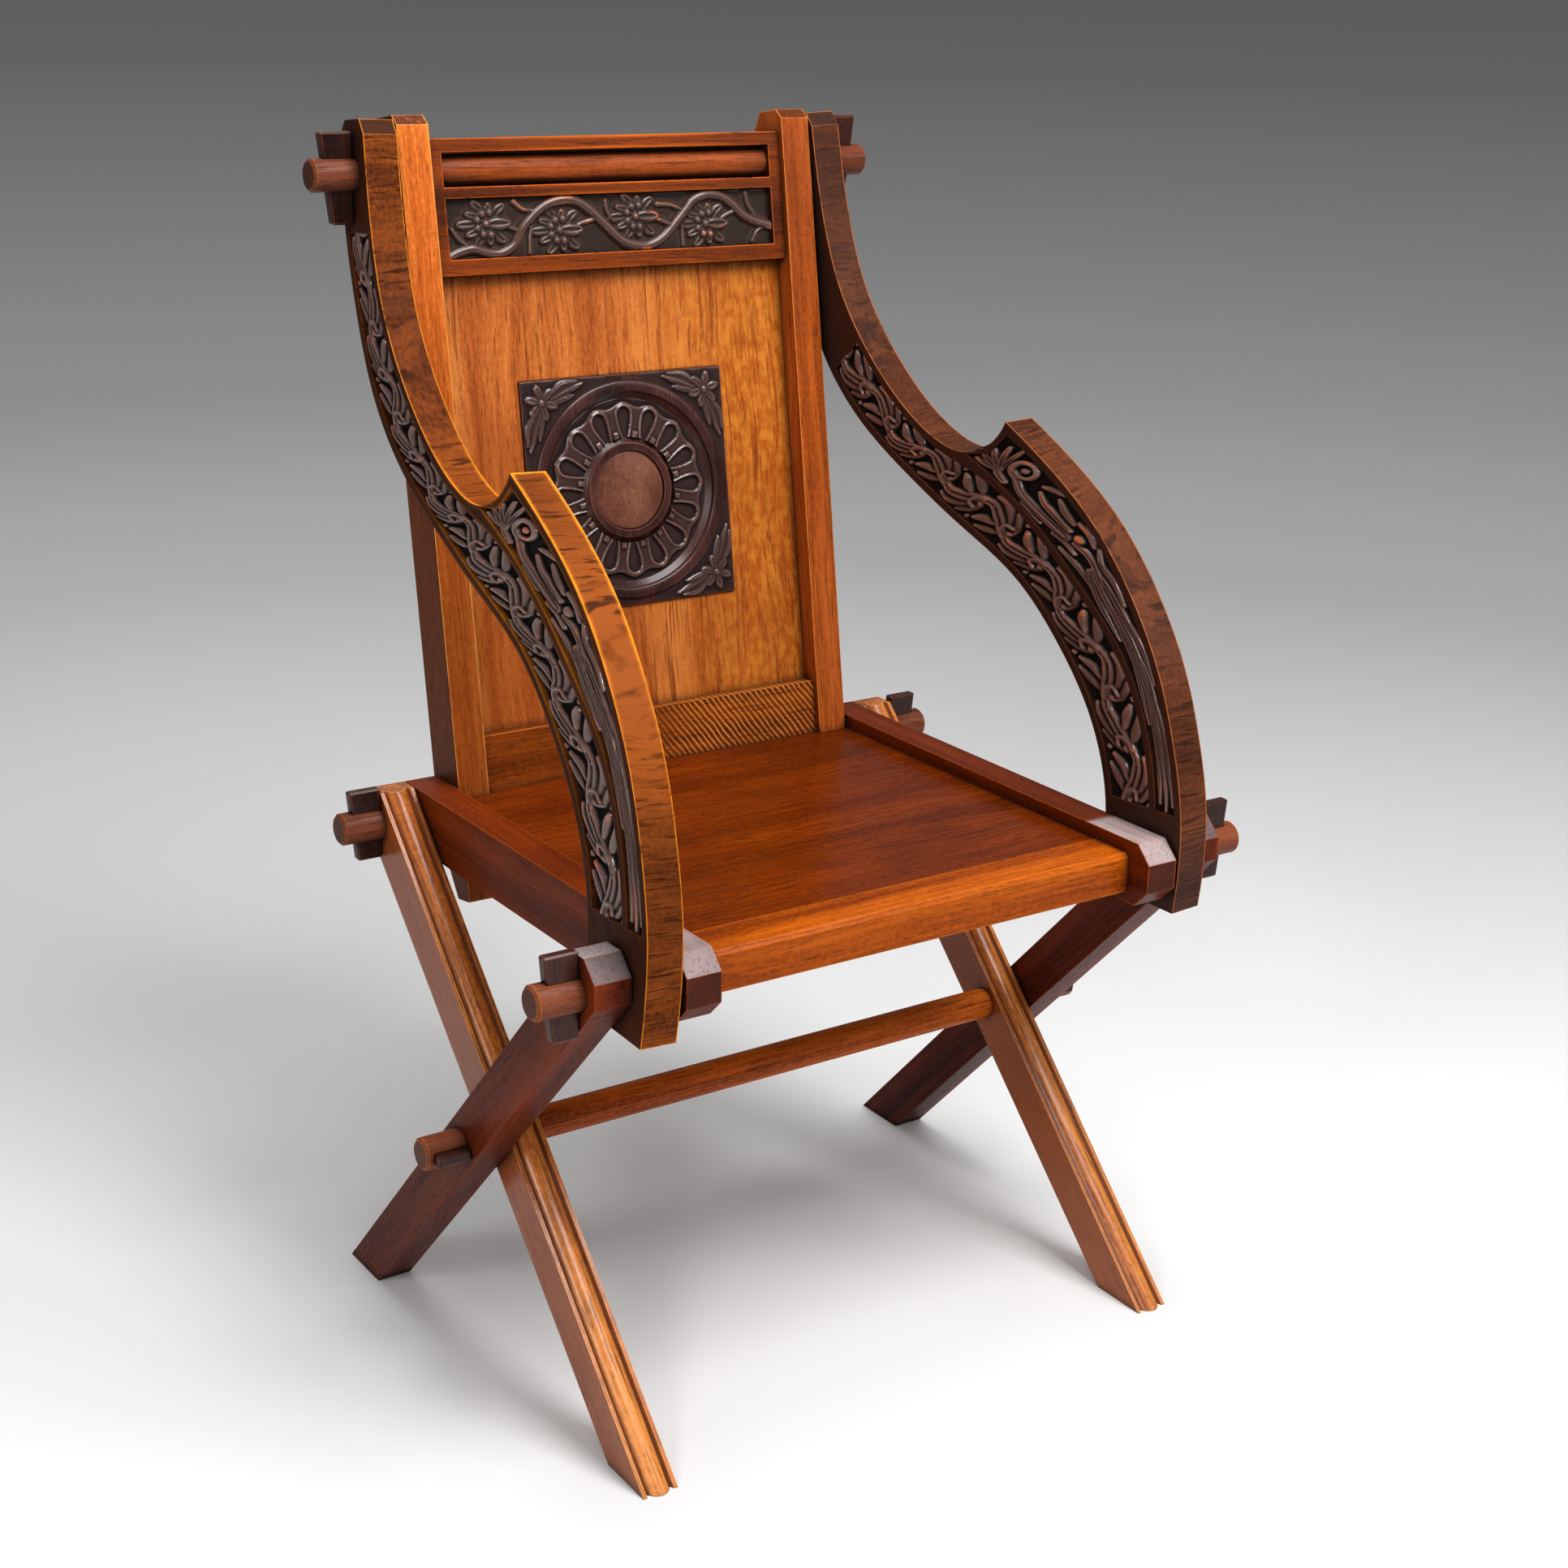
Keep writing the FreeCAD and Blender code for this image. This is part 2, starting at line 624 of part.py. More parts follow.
def arm():
    edges = [arm_curve(arm_sweep_shares), arm_curve(arm_front_shares)] + arm_lines(arm_foot_shares)
    edges = edges + [arm_curve(arm_rear_shares)] + arm_lines(arm_top_shares)
    shape = Part.Face(Part.Wire(edges)).extrude(vector(board, 0, 0))
    for channel in arm_channels(channel_head_inner_shares):
        shape = shape.cut(channel.extrude(vector(arm_channel_depth, 0, 0)))
    for channel in arm_channels(channel_head_outer_shares):
        channel.translate(vector(board, 0, 0))
        shape = shape.cut(channel.extrude(vector(-arm_channel_depth, 0, 0)))
    shape = leaned(shape)
    for pin_y, pin_z in ((front_pin_y, seat_pin_z), (top_pin_y, top_pin_z)):
        shape = shape.cut(rod(0, arm_inner_at_seat + overrun + board, pin_y, pin_z, hole_radius))
    return shape


# Rods and the wedge keys through their ends
def wedge(inner, wide, narrow, rise, drop, thickness):
    """Upright wedge standing on the side x = inner, with its slanted edge outwards, at y = 0."""
    points = [vector(inner, -thickness / 2, -drop), vector(inner + narrow, -thickness / 2, -drop),
              vector(inner + wide, -thickness / 2, rise), vector(inner, -thickness / 2, rise)]
    return Part.Face(Part.makePolygon(points + points[:1])).extrude(vector(0, thickness, 0))


def key(inner, wide, narrow, rise, drop):
    solid = wedge(inner, wide, narrow, rise, drop, key_thickness)
    return solid.makeChamfer(key_chamfer, solid.Edges)


def key_mortise(inner, wide, narrow, rise, drop):
    return wedge(inner - key_relief, wide + key_relief + key_clearance, narrow + key_relief + key_clearance,
                 rise, drop, key_thickness + 2 * key_clearance)


def laid_forward(shape):
    """Turns an upright wedge down so that its wide end points to the front."""
    placed = shape.copy()
    placed.rotate(vector(0, 0, 0), vector(1, 0, 0), 90)
    return placed


def arm_outer_at(y, z):
    along = (y - front_pin_y) * arm_along[0] + (z - seat_pin_z) * arm_along[1]
    return arm_inner_at_seat + board / math.cos(arm_lean) - along * math.tan(arm_lean)


def driven(wedge_sizes, depth):
    """The sizes of a wedge that has been knocked further in."""
    inner, wide, narrow, rise, drop = wedge_sizes
    return inner, wide, narrow, rise - depth, drop + depth


top_wedge = (arm_outer_at(top_pin_y, top_pin_z - top_key_drop) + key_clearance, key_wide, top_key_narrow,
             top_key_rise, top_key_drop)
front_wedge = (outer_leg_outer + key_clearance, key_wide, key_narrow, front_key_rise, front_key_drop)
rear_wedge = (inner_leg_outer + key_clearance, key_wide, key_narrow, rear_key_rise, rear_key_drop)
cross_wedge = (outer_leg_outer + key_clearance, cross_key_wide, cross_key_narrow, cross_key_front,
               cross_key_back)

# For each station: the wedge on the left, the one on the right, and the place of the rod
key_stations = {
    "top": (top_wedge, driven(top_wedge, right_top_key_driven), top_pin_y, top_pin_z),
    "front": (driven(front_wedge, left_front_key_driven), driven(front_wedge, right_front_key_driven),
              front_pin_y, seat_pin_z),
    "rear": (rear_wedge, rear_wedge, rear_pin_y, seat_pin_z),
    "cross": (driven(cross_wedge, left_cross_key_driven), cross_wedge, cross_y, cross_z),
}


def stationed(shape, station, side):
    """Moves a wedge or its mortise from the origin to its place; only the cross keys lie flat."""
    y, z = key_stations[station][2:]
    placed = laid_forward(shape) if station == "cross" else shape.copy()
    placed.translate(vector(0, y, z))
    return mirrored(placed) if side == "right" else placed


def keyed(shape, station):
    """Cuts the mortises of one station's two keys through the ends of a rod."""
    for side, sizes in zip(("left", "right"), key_stations[station]):
        shape = shape.cut(stationed(key_mortise(*sizes), station, side))
    return shape


def add_keys():
    for station, values in key_stations.items():
        for side, sizes in zip(("left", "right"), values):
            add(station + "_key_" + side, stationed(key(*sizes), station, side))


def stretcher():
    """Square bar set on its corner between the inner legs, with round tenons through both legs."""
    corner = stretcher_side / math.sqrt(2)
    blunt = stretcher_arris
    outline = [(corner - blunt, -blunt), (corner - blunt, blunt), (blunt, corner - blunt),
               (-blunt, corner - blunt), (blunt - corner, blunt), (blunt - corner, -blunt),
               (-blunt, blunt - corner), (blunt, blunt - corner)]
    bar = prism([(cross_y + y, cross_z + z) for y, z in outline], -inner_leg_inner, inner_leg_inner)
    return bar.fuse(chamfered_rod(-cross_rod_end, cross_rod_end, cross_y, cross_z, rod_radius))


def build():
    add_pair("back_stile", back_stile())
    add("top_rail", top_rail())
    add("back_bottom_rail", bottom_rail())
    add("back_panel", back_panel())
    add("carved_tile", carved_tile())
    add("tile_boss", tile_boss())
    add_pair("seat_side_rail", seat_side_rail())
    add("seat_front_rail", keyed(seat_front_rail(), "front"))
    add("seat_rear_rail", seat_rear_rail())
    add("seat_panel", seat_panel())
    add_pair("inner_leg", inner_leg())
    add_pair("outer_leg", outer_leg())
    add("stretcher", keyed(stretcher(), "cross"))
    add_pair("arm", arm())
    top_rod = chamfered_rod(-top_rod_end, top_rod_end, top_pin_y, top_pin_z, rod_radius)
    rear_rod = chamfered_rod(-rear_rod_end, rear_rod_end, rear_pin_y, seat_pin_z, rod_radius)
    add("top_rod", keyed(top_rod, "top"))
    add("rear_rod", keyed(rear_rod, "rear"))
    add_keys()


def write_pieces():
    """Centres the chair front to back over the origin and writes each piece."""
    boxes = [piece.optimalBoundingBox() for piece in pieces.values()]
    middle = (min(bounds.YMin for bounds in boxes) + max(bounds.YMax for bounds in boxes)) / 2
    print("front to back middle", round(middle, 3))
    for node, piece in pieces.items():
        piece.translate(vector(0, -middle, 0))
        piece.exportStep("parts/" + node + ".step")
        print(node, len(piece.Solids), "solid", piece.isValid())


build()
write_pieces()
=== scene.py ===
import math
import bmesh
import bpy
import numpy as np
from mathutils import Matrix, Vector


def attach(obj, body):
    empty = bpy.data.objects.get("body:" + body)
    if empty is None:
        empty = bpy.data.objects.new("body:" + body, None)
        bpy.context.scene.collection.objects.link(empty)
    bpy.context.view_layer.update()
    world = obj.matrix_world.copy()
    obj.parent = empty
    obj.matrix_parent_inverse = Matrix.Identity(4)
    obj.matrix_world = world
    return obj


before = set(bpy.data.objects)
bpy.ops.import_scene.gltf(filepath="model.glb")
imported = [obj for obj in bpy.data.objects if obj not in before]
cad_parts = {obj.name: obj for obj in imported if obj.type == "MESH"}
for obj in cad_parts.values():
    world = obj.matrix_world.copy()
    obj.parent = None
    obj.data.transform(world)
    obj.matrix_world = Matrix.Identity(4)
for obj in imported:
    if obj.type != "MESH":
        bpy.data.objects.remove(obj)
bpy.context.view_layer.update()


# Back stiles: two straight oak uprights that lean back by nine degrees, sawn along the grain, stained and
# waxed. The sitter's right one is lighter, partly a rubbed orange brown and partly a painted sheen of
# light, and it is darker low down with painted shade and on its sides. The wood finish that all the
# members share is made here too.
class Value:
    """A socket of a finish's nodes. Sums and products of it add the Math nodes."""

    def __init__(self, finish, socket):
        self.finish = finish
        self.socket = socket

    def maths(self, operation, first, second):
        return self.finish.node("ShaderNodeMath", {"operation": operation}, {0: first, 1: second})

    def __add__(self, other):
        return self.maths("ADD", self, other)

    def __sub__(self, other):
        return self.maths("SUBTRACT", self, other)

    def __mul__(self, other):
        return self.maths("MULTIPLY", self, other)

    def __rsub__(self, other):
        return self.maths("SUBTRACT", other, self)

    __radd__ = __add__
    __rmul__ = __mul__

    def held(self):
        """The value kept between 0 and 1."""
        return self.finish.node("ShaderNodeClamp", {}, {0: self})

    def above(self, low, high):
        """Goes smoothly from 0 at the low value to 1 at the high one."""
        return self.finish.node("ShaderNodeMapRange", {"interpolation_type": "SMOOTHSTEP"},
                                {"Value": self, "From Min": low, "From Max": high})


class Finish:
    """A material under construction."""

    def __init__(self, name):
        self.material = bpy.data.materials.new(name)
        self.material.use_nodes = True
        self.tree = self.material.node_tree
        self.shader = self.tree.nodes["Principled BSDF"]
        self.seat = self.node("ShaderNodeTexCoord", {}, {}, "Object")

    def node(self, kind, settings, inputs, output=0):
        """Adds a node: its settings first, then its inputs, each linked or set."""
        node = self.tree.nodes.new(kind)
        for name, value in settings.items():
            if name == "stops":
                ramp = node.color_ramp
                while len(ramp.elements) < len(value):
                    ramp.elements.new(0.5)
                for element, (place, color) in zip(ramp.elements, value):
                    element.position = place
                    element.color = color
            else:
                setattr(node, name, value)
        for name, value in inputs.items():
            if isinstance(value, Value):
                self.tree.links.new(value.socket, node.inputs[name])
            else:
                node.inputs[name].default_value = value
        return Value(self, node.outputs[output])

    def vector(self, operation, *parts, output=0):
        return self.node("ShaderNodeVectorMath", {"operation": operation}, dict(enumerate(parts)), output)

    def noise(self, place, scale, detail=3.0, rough=0.55):
        return self.node("ShaderNodeTexNoise", {}, {"Vector": place, "Scale": scale, "Detail": detail,
                                                    "Roughness": rough})

    def near(self, point, reach):
        """1 at a point, falling to 0 at the reach from it."""
        return 1 - self.vector("DISTANCE", self.seat, point, output="Value").above(reach * 0.25, reach)

    def part_of(self, vector, letter):
        """The X, Y or Z of a vector."""
        return self.node("ShaderNodeSeparateXYZ", {}, {0: vector}, letter)

    def size_of(self, vector, letter):
        """How large one part of a vector is, whichever way it points."""
        return self.node("ShaderNodeMath", {"operation": "ABSOLUTE"}, {0: self.part_of(vector, letter)})

    def blended(self, factor, first, second):
        """The second colour over the first one, as far as the factor says."""
        return self.node("ShaderNodeMix", {"data_type": "RGBA", "clamp_factor": True},
                         {0: factor, 6: first, 7: second}, 2)

    def feed(self, name, value):
        """Links or sets an input of the shader."""
        if isinstance(value, Value):
            self.tree.links.new(value.socket, self.shader.inputs[name])
        else:
            self.shader.inputs[name].default_value = value


def tone(code):
    """A colour written as six hexadecimal digits, as the linear colour that the nodes take."""
    parts = [int(code[index:index + 2], 16) / 255 for index in (0, 2, 4)]
    return tuple(part / 12.92 if part < 0.0405 else ((part + 0.055) / 1.055) ** 2.4 for part in parts) + (1,)


# Dark colour of the pores, which also serves as the painted shade in corners and joints.
pore_and_shade_dark = tone("180d09")
end_grain_stain = tone("301913")
edge_round = 0.0018
handled_round = 0.006
corner_reach = 0.012


def oak(name, turn, tones, board=(1, 1, 0.03), shift=(0, 0, 0), streaks=0.7, flame=0.02, wear=1.0, shade_and_grime=0.85,
        rough=0.42, polish=0.04, bands=0.75, hairs=560, pits=0.5, rubbed=(), rays=None, flank=None, low=None,
        sheen=0.07):
    """Stained and waxed oak. The turn brings the grain upright. Tones are the dark, middle and light colours
    of the wood and the colour of rubbed edges. Board says how much the wood changes across, through and
    along the grain, and shift picks another spot of the log. Bands is how strong the broad figure is, flame
    how far the grain wanders, streaks how strong its dark lines are, hairs how fine they are, and pits how
    deep the pores. Wear is how far the edges are rubbed, and rubbed lists points that hands touch and their
    reaches. The grime and shade setting says how dark the corners and joints go where the ambient occlusion
    finds them hidden: painted shade, with some dirt there. Rays is a function that changes the colour under
    the lines. Flank is a darker colour for the faces that look sideways, which are rubbed little: partly
    their stain and partly painted shade. Low gives two heights: below the first the wood goes towards that
    colour as painted shade, and above the second it doesn't. Rough and sheen are how dull the bare wood is
    and how much it shines, and polish is the coat of wax."""
    dark, body, light, worn = map(tone, tones.split())
    finish = Finish(name)
    true_normal = finish.node("ShaderNodeNewGeometry", {}, {}, "Normal")
    sideways = finish.size_of(true_normal, "X").above(0.5, 0.85)
    bare = 1 - sideways * 0.88 if flank else 1
    grain_normal = finish.node("ShaderNodeMapping", {"vector_type": "NORMAL"},
                               {"Vector": true_normal, "Rotation": turn})
    end_grain = finish.size_of(grain_normal, "Z").above(0.75, 0.95)
    upright = finish.node("ShaderNodeMapping", {},
                          {"Vector": finish.seat, "Rotation": turn, "Location": shift})
    wander = finish.node("ShaderNodeTexNoise", {}, {"Vector": finish.vector("MULTIPLY", upright, (6, 6, 3.2)),
                                                    "Scale": 1.0, "Detail": 2.0}, "Color")
    swayed = finish.vector("MULTIPLY_ADD", wander, (flame, flame, 0), upright)
    along = finish.vector("MULTIPLY", swayed, board)
    broad = finish.noise(along, 30, 3, 0.5)
    streak = finish.noise(along, 230, 4, 0.68)
    hair = finish.noise(along, hairs, 2, 0.5)
    dashed = finish.vector("MULTIPLY", swayed, (board[0], board[1], board[2] * 1.6))
    dash = finish.noise(dashed, 1500, 1, 0.5)
    speck = finish.noise(finish.vector("MULTIPLY", upright, (1, 1, 0.55)), 380, 3, 0.6)
    cloud = finish.noise(finish.seat, 8, 3)
    lines = hair.above(0.5, 0.62) * streak.above(0.38, 0.6)
    pores = dash.above(0.54, 0.66) * hair.above(0.42, 0.56)
    figure = (broad * bands + streak * 0.3 + speck * 0.25 + (0.225 - bands * 0.5)).held()
    stops = [(0.36, dark), (0.5, body), (0.64, light)]
    color = finish.node("ShaderNodeValToRGB", {"stops": stops}, {0: figure})
    if rays:
        color = rays(finish, color)
    for point, reach in rubbed:
        color = finish.blended(finish.near(point, reach) * (broad * 1.4 - 0.3) * bare, color, light)
    color = finish.blended(lines * streaks, color, dark)
    color = finish.blended(cloud.above(0.45, 0.72) * 0.4, color, dark)
    # Painted shade: darker below the given heights, towards the flank colour.
    if low:
        color = finish.blended((1 - finish.part_of(finish.seat, "Z").above(*low)) * 0.7, color, flank)
    # Darker on the faces that look sideways: partly their stain, partly painted shade.
    if flank:
        color = finish.blended(sideways * 0.85, color, flank)
    color = finish.blended(pores * pits, color, pore_and_shade_dark)
    color = finish.blended(end_grain * 0.6, color, end_grain_stain)
    edge_normal = finish.node("ShaderNodeBevel", {"samples": 6}, {"Radius": edge_round})
    meeting = finish.vector("DOT_PRODUCT", edge_normal, true_normal, output="Value")
    open_air = finish.node("ShaderNodeAmbientOcclusion", {"samples": 6}, {"Distance": corner_reach}, "AO")
    rub = finish.noise(finish.seat, 45, 4, 0.7)
    edge = (1 - meeting).above(0.012, 0.11) * open_air.above(0.72, 0.92) * rub.above(0.28, 0.5)
    color = finish.blended(edge * wear * bare, color, worn)
    if rubbed:
        wide_normal = finish.node("ShaderNodeBevel", {"samples": 6}, {"Radius": handled_round})
        turned = 1 - finish.vector("DOT_PRODUCT", wide_normal, true_normal, output="Value")
        frayed = turned.above(0.0, 0.16) * 1.3 - streak.above(0.42, 0.6) * 0.5
        handled = finish.near(*rubbed[0]) * bare
        color = finish.blended(frayed * handled, color, worn)
    # Painted shade: darker in the corners and joints, as far as the ambient occlusion finds them hidden, with
    # some dirt there.
    hollow = (1 - open_air).above(0.1, 0.7) * shade_and_grime
    color = finish.blended(hollow, color, pore_and_shade_dark)
    finish.feed("Base Color", color)
    finish.feed("Roughness", (rough + (speck - 0.5) * 0.3 + hollow * 0.3 + pores * 0.25).held())
    finish.feed("Specular IOR Level", sheen)
    finish.feed("Coat Weight", polish)
    finish.feed("Coat Roughness", 0.24)
    height = speck * 0.25 + streak * 0.3 - pores * pits * 1.4
    finish.feed("Normal", finish.node("ShaderNodeBump", {}, {"Strength": 0.35, "Distance": 0.0005,
                                                              "Height": height, "Normal": edge_normal}))
    return finish.material


def dress(material, *nodes):
    """Puts a material on the solids of the given names."""
    for node in nodes:
        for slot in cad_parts[node].material_slots:
            slot.material = material


def facing_up(finish, low, high):
    """1 on faces that look up, and 0 on those that don't."""
    return finish.part_of(finish.node("ShaderNodeNewGeometry", {}, {}, "Normal"), "Z").above(low, high)


def dark_top(finish, color):
    """Dark on the cut upper ends of the stiles and arms, where the stain is never rubbed off."""
    top = finish.part_of(finish.seat, "Z").above(0.862, 0.866) * facing_up(finish, 0.45, 0.6)
    return finish.blended(top * 0.9, color, tone("331c13"))


back_lean = math.radians(9)
up_the_back = (back_lean, 0, 0)
# The sitter's right stile is lighter, partly rubbed and partly a painted sheen of light, with painted shade
# low down.
dress(oak("stile_oak_right", up_the_back, "a74c12 d3732c ea8e45 ffad54", wear=0.8, streaks=1.0, bands=0.5,
          flank=tone("562405"), low=(0.5, 0.8), rays=dark_top), "back_stile_right")
dress(oak("stile_oak_left", up_the_back, "6e2d09 a14b17 ba5f25 ef8c3d", shift=(0.4, 0.2, 0), rays=dark_top),
      "back_stile_left")


# Back panel: one wide board of oak with upright grain, held in grooves and waxed bright. Seen from the
# front, its left half is plain sawn, with long dark lines, and its right half has a finer golden mottle.
def golden(finish, color):
    """Golden on the right half, and a painted shadow of the arm low on the left."""
    side = finish.part_of(finish.seat, "X")
    fleck = finish.noise(finish.vector("MULTIPLY", finish.seat, (1, 1, 0.6)), 160, 3, 0.6)
    gold = finish.blended(fleck.above(0.35, 0.65), tone("9c4b0d"), tone("bd7323"))
    color = finish.blended(side.above(-0.02, 0.12) * 0.75, color, gold)
    # Painted shadow of the arm: darker low on the left of the panel.
    painted_arm_shadow = (1 - side.above(-0.16, -0.06)) * (1 - finish.part_of(finish.seat, "Z").above(0.48, 0.64))
    return finish.blended(painted_arm_shadow * 0.6, color, tone("783308"))


dress(oak("panel_oak", up_the_back, "873d12 ab5b25 c47637 bc6c2c", streaks=0.95, flame=0.05, wear=0.5,
          hairs=330, rays=golden), "back_panel")


# Top and bottom rails of the back, of oak with the grain from side to side, tenoned into the stiles and
# stained darker than them. The bottom rail is quarter sawn, and pale rays cross its right half.
def crossing_rays(finish, color):
    """Pale rays that slant across the right half."""
    stripes = finish.node("ShaderNodeTexWave", {"wave_type": "BANDS", "bands_direction": "DIAGONAL"},
                          {"Vector": finish.vector("MULTIPLY", finish.seat, (1, 0, 0.75)), "Scale": 115,
                           "Distortion": 2.6, "Detail": 2.0, "Detail Scale": 0.5})
    right_half = finish.part_of(finish.seat, "X").above(-0.03, 0.05)
    return finish.blended(stripes.above(0.66, 0.95) * right_half * 0.8, color, tone("d88740"))


across = (0, math.pi / 2, 0)
dress(oak("top_rail_oak", across, "3d1603 652906 7d3509 c95c0f", rubbed=[((0, 0.21, 0.95), 0.16)]),
      "top_rail")
dress(oak("bottom_rail_oak", across, "4f1f03 763306 8b430a ba6718", rays=crossing_rays), "back_bottom_rail")


# Vine carved in the sunk band of the top rail: one waving stem with side shoots and four leaves with
# berries, cut from the same board and stained nearly black, with the high spots rubbed.
def flowing(points):
    """Points of a smooth line through the given ones."""
    steps = 6
    given = [np.array(point, float) for point in points]
    ends = [2 * given[0] - given[1]] + given + [2 * given[-1] - given[-2]]
    line = []
    for first, second, third, fourth in zip(ends, ends[1:], ends[2:], ends[3:]):
        for t in np.linspace(0, 1, steps, endpoint=False):
            bend = (2 * first - 5 * second + 4 * third - fourth) * t ** 2
            swing = (3 * second - first - 3 * third + fourth) * t ** 3
            line.append(0.5 * (2 * second + (third - first) * t + bend + swing))
    return np.array(line + [given[-1]])


def carved(x, y, strokes):
    """Height of a carving over a grid. A stroke is a line of points, its half widths at the start,
    middle and end, the height of its crest, and how many ribs run along it."""
    height = np.zeros_like(x)
    for points, halves, crest, ribs in strokes:
        reach = np.full_like(x, 9)
        side = np.zeros_like(x)
        if len(points) == 1:
            reach = np.hypot(x - points[0][0], y - points[0][1]) / halves[0]
        else:
            line = flowing(points)
            last = len(line) - 1
            for index in range(last):
                run = line[index + 1] - line[index]
                from_x = x - line[index][0]
                from_y = y - line[index][1]
                share = np.clip((from_x * run[0] + from_y * run[1]) / (run @ run), 0, 1)
                off_x = from_x - share * run[0]
                off_y = from_y - share * run[1]
                t = (index + share) / last
                half = (halves[0] * (1 - t) * (1 - 2 * t) + 4 * halves[1] * t * (1 - t)
                        + halves[2] * t * (2 * t - 1))
                distance = np.hypot(off_x, off_y) / half
                nearer = distance < reach
                side = np.where(nearer, np.sign(run[0] * off_y - run[1] * off_x) * distance, side)
                reach = np.where(nearer, distance, reach)
        dome = crest * np.sqrt(np.clip(1 - reach ** 2, 0, 1))
        groove = (0.5 + 0.5 * np.cos(math.pi * ribs * (side + 1))) ** 2 if ribs > 1 else 0
        height = np.maximum(height, dome * (1 - 0.3 * groove))
    return height


def in_scene(name, data):
    """A new object in the scene."""
    thing = bpy.data.objects.new(name, data)
    bpy.context.scene.collection.objects.link(thing)
    return thing


def carving_sheet(name, x, y, height, crest, kept=True):
    """Sheet over a grid whose columns run along x and rows along y. It remembers its relief, as a share of
    the crest, and its crown, which is how much higher a spot is than what lies around it."""
    rows, columns = x.shape
    index = np.arange(rows * columns).reshape(rows, columns)
    faces = np.stack([index[:-1, :-1], index[:-1, 1:], index[1:, 1:], index[1:, :-1]], axis=-1)
    faces = faces[np.broadcast_to(kept, x.shape)[:-1, :-1]]
    corners = np.stack([x, y, height], axis=-1).reshape(-1, 3)
    mesh = bpy.data.meshes.new(name)
    mesh.from_pydata(corners.tolist(), [], faces.reshape(-1, 4).tolist())
    reach = 4
    window = 2 * reach + 1
    padded = np.pad(height, reach, "edge")
    around = sum(padded[row:row + rows, column:column + columns]
                 for row in range(window) for column in range(window)) / window ** 2
    for label, value in (("relief", height / crest), ("crown", 0.5 + (height - around) / 3)):
        mesh.attributes.new(label, "FLOAT", "POINT").data.foreach_set("value", np.clip(value, 0, 1).ravel())
    mesh.shade_smooth()
    return in_scene(name, mesh)


def settled(piece, matrix, material):
    """Puts a piece's mesh in its place on the chair, and ties it to the frame."""
    piece.data.transform(matrix)
    if matrix.determinant() < 0:
        piece.data.flip_normals()
    piece.data.materials.clear()
    piece.data.materials.append(material)
    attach(piece, "frame")


def carving_wax(name, tones, shine):
    """Dark waxed carving, with the tops rubbed here and there. It is darker low in the relief and lighter on
    the crowns: partly the dark wax in the hollows, partly painted shade in the hollows and a painted
    highlight on the crests. Tones are the colours of the ground, the hollows, the crests and the rubbed
    tops, and shine is the coat of wax on the crests."""
    ground, hollow, crest, bare = map(tone, tones.split())
    finish = Finish(name)
    relief = finish.node("ShaderNodeAttribute", {"attribute_name": "relief"}, {}, "Fac")
    crown = finish.node("ShaderNodeAttribute", {"attribute_name": "crown"}, {}, "Fac")
    rub = finish.noise(finish.seat, 60, 2, 0.5)
    grain = finish.noise(finish.seat, 520, 2, 0.5)
    level = (relief * 0.3 + crown * 0.9 - 0.2 + (grain - 0.5) * 0.1).held()
    # Painted shade in the hollows and a painted highlight on the crests, over the dark wax.
    stops = [(0.1, ground), (0.32, hollow), (0.85, crest)]
    color = finish.node("ShaderNodeValToRGB", {"stops": stops}, {0: level})
    bareness = crown.above(0.66, 0.86) * relief.above(0.6, 0.8) * rub.above(0.53, 0.62)
    color = finish.blended(bareness * 0.85, color, bare)
    finish.feed("Base Color", color)
    finish.feed("Roughness", (0.8 - relief.above(0.1, 0.5) * 0.45 + (grain - 0.5) * 0.2).held())
    finish.feed("Specular IOR Level", 0.12)
    finish.feed("Coat Weight", crown.above(0.48, 0.66) * shine)
    finish.feed("Coat Roughness", 0.13)
    finish.feed("Normal", finish.node("ShaderNodeBump", {}, {"Strength": 0.25, "Distance": 0.0004,
                                                              "Height": grain + rub * 0.5}))
    return finish.material


def sunk(share, height):
    """Height of a carving that stands on its ground where the share is 1 and dips under it where it is 0."""
    ground_lift = 0.15
    edge_dip = 0.4
    return share * (height + ground_lift) - edge_dip * (1 - share)


# Depths are measured back from a line in front of the chair. The lower pins lie at one height.
millimetre = 0.001
origin_depth = 252.727
pin_height = 376.0
rear_pin_depth = 402.5
back_middle = Vector((0, (rear_pin_depth - origin_depth) * millimetre, pin_height * millimetre))
back_up = Vector((0, math.sin(back_lean), math.cos(back_lean)))
back_out = Vector((0, -math.cos(back_lean), math.sin(back_lean)))


def back_place(up, out):
    """Place on the back's front: x across, y up the back and z out of it."""
    matrix = Matrix((Vector((1, 0, 0)), back_up, back_out)).transposed().to_4x4()
    matrix.translation = back_middle + back_up * up + back_out * out
    return matrix @ Matrix.Scale(millimetre, 4)


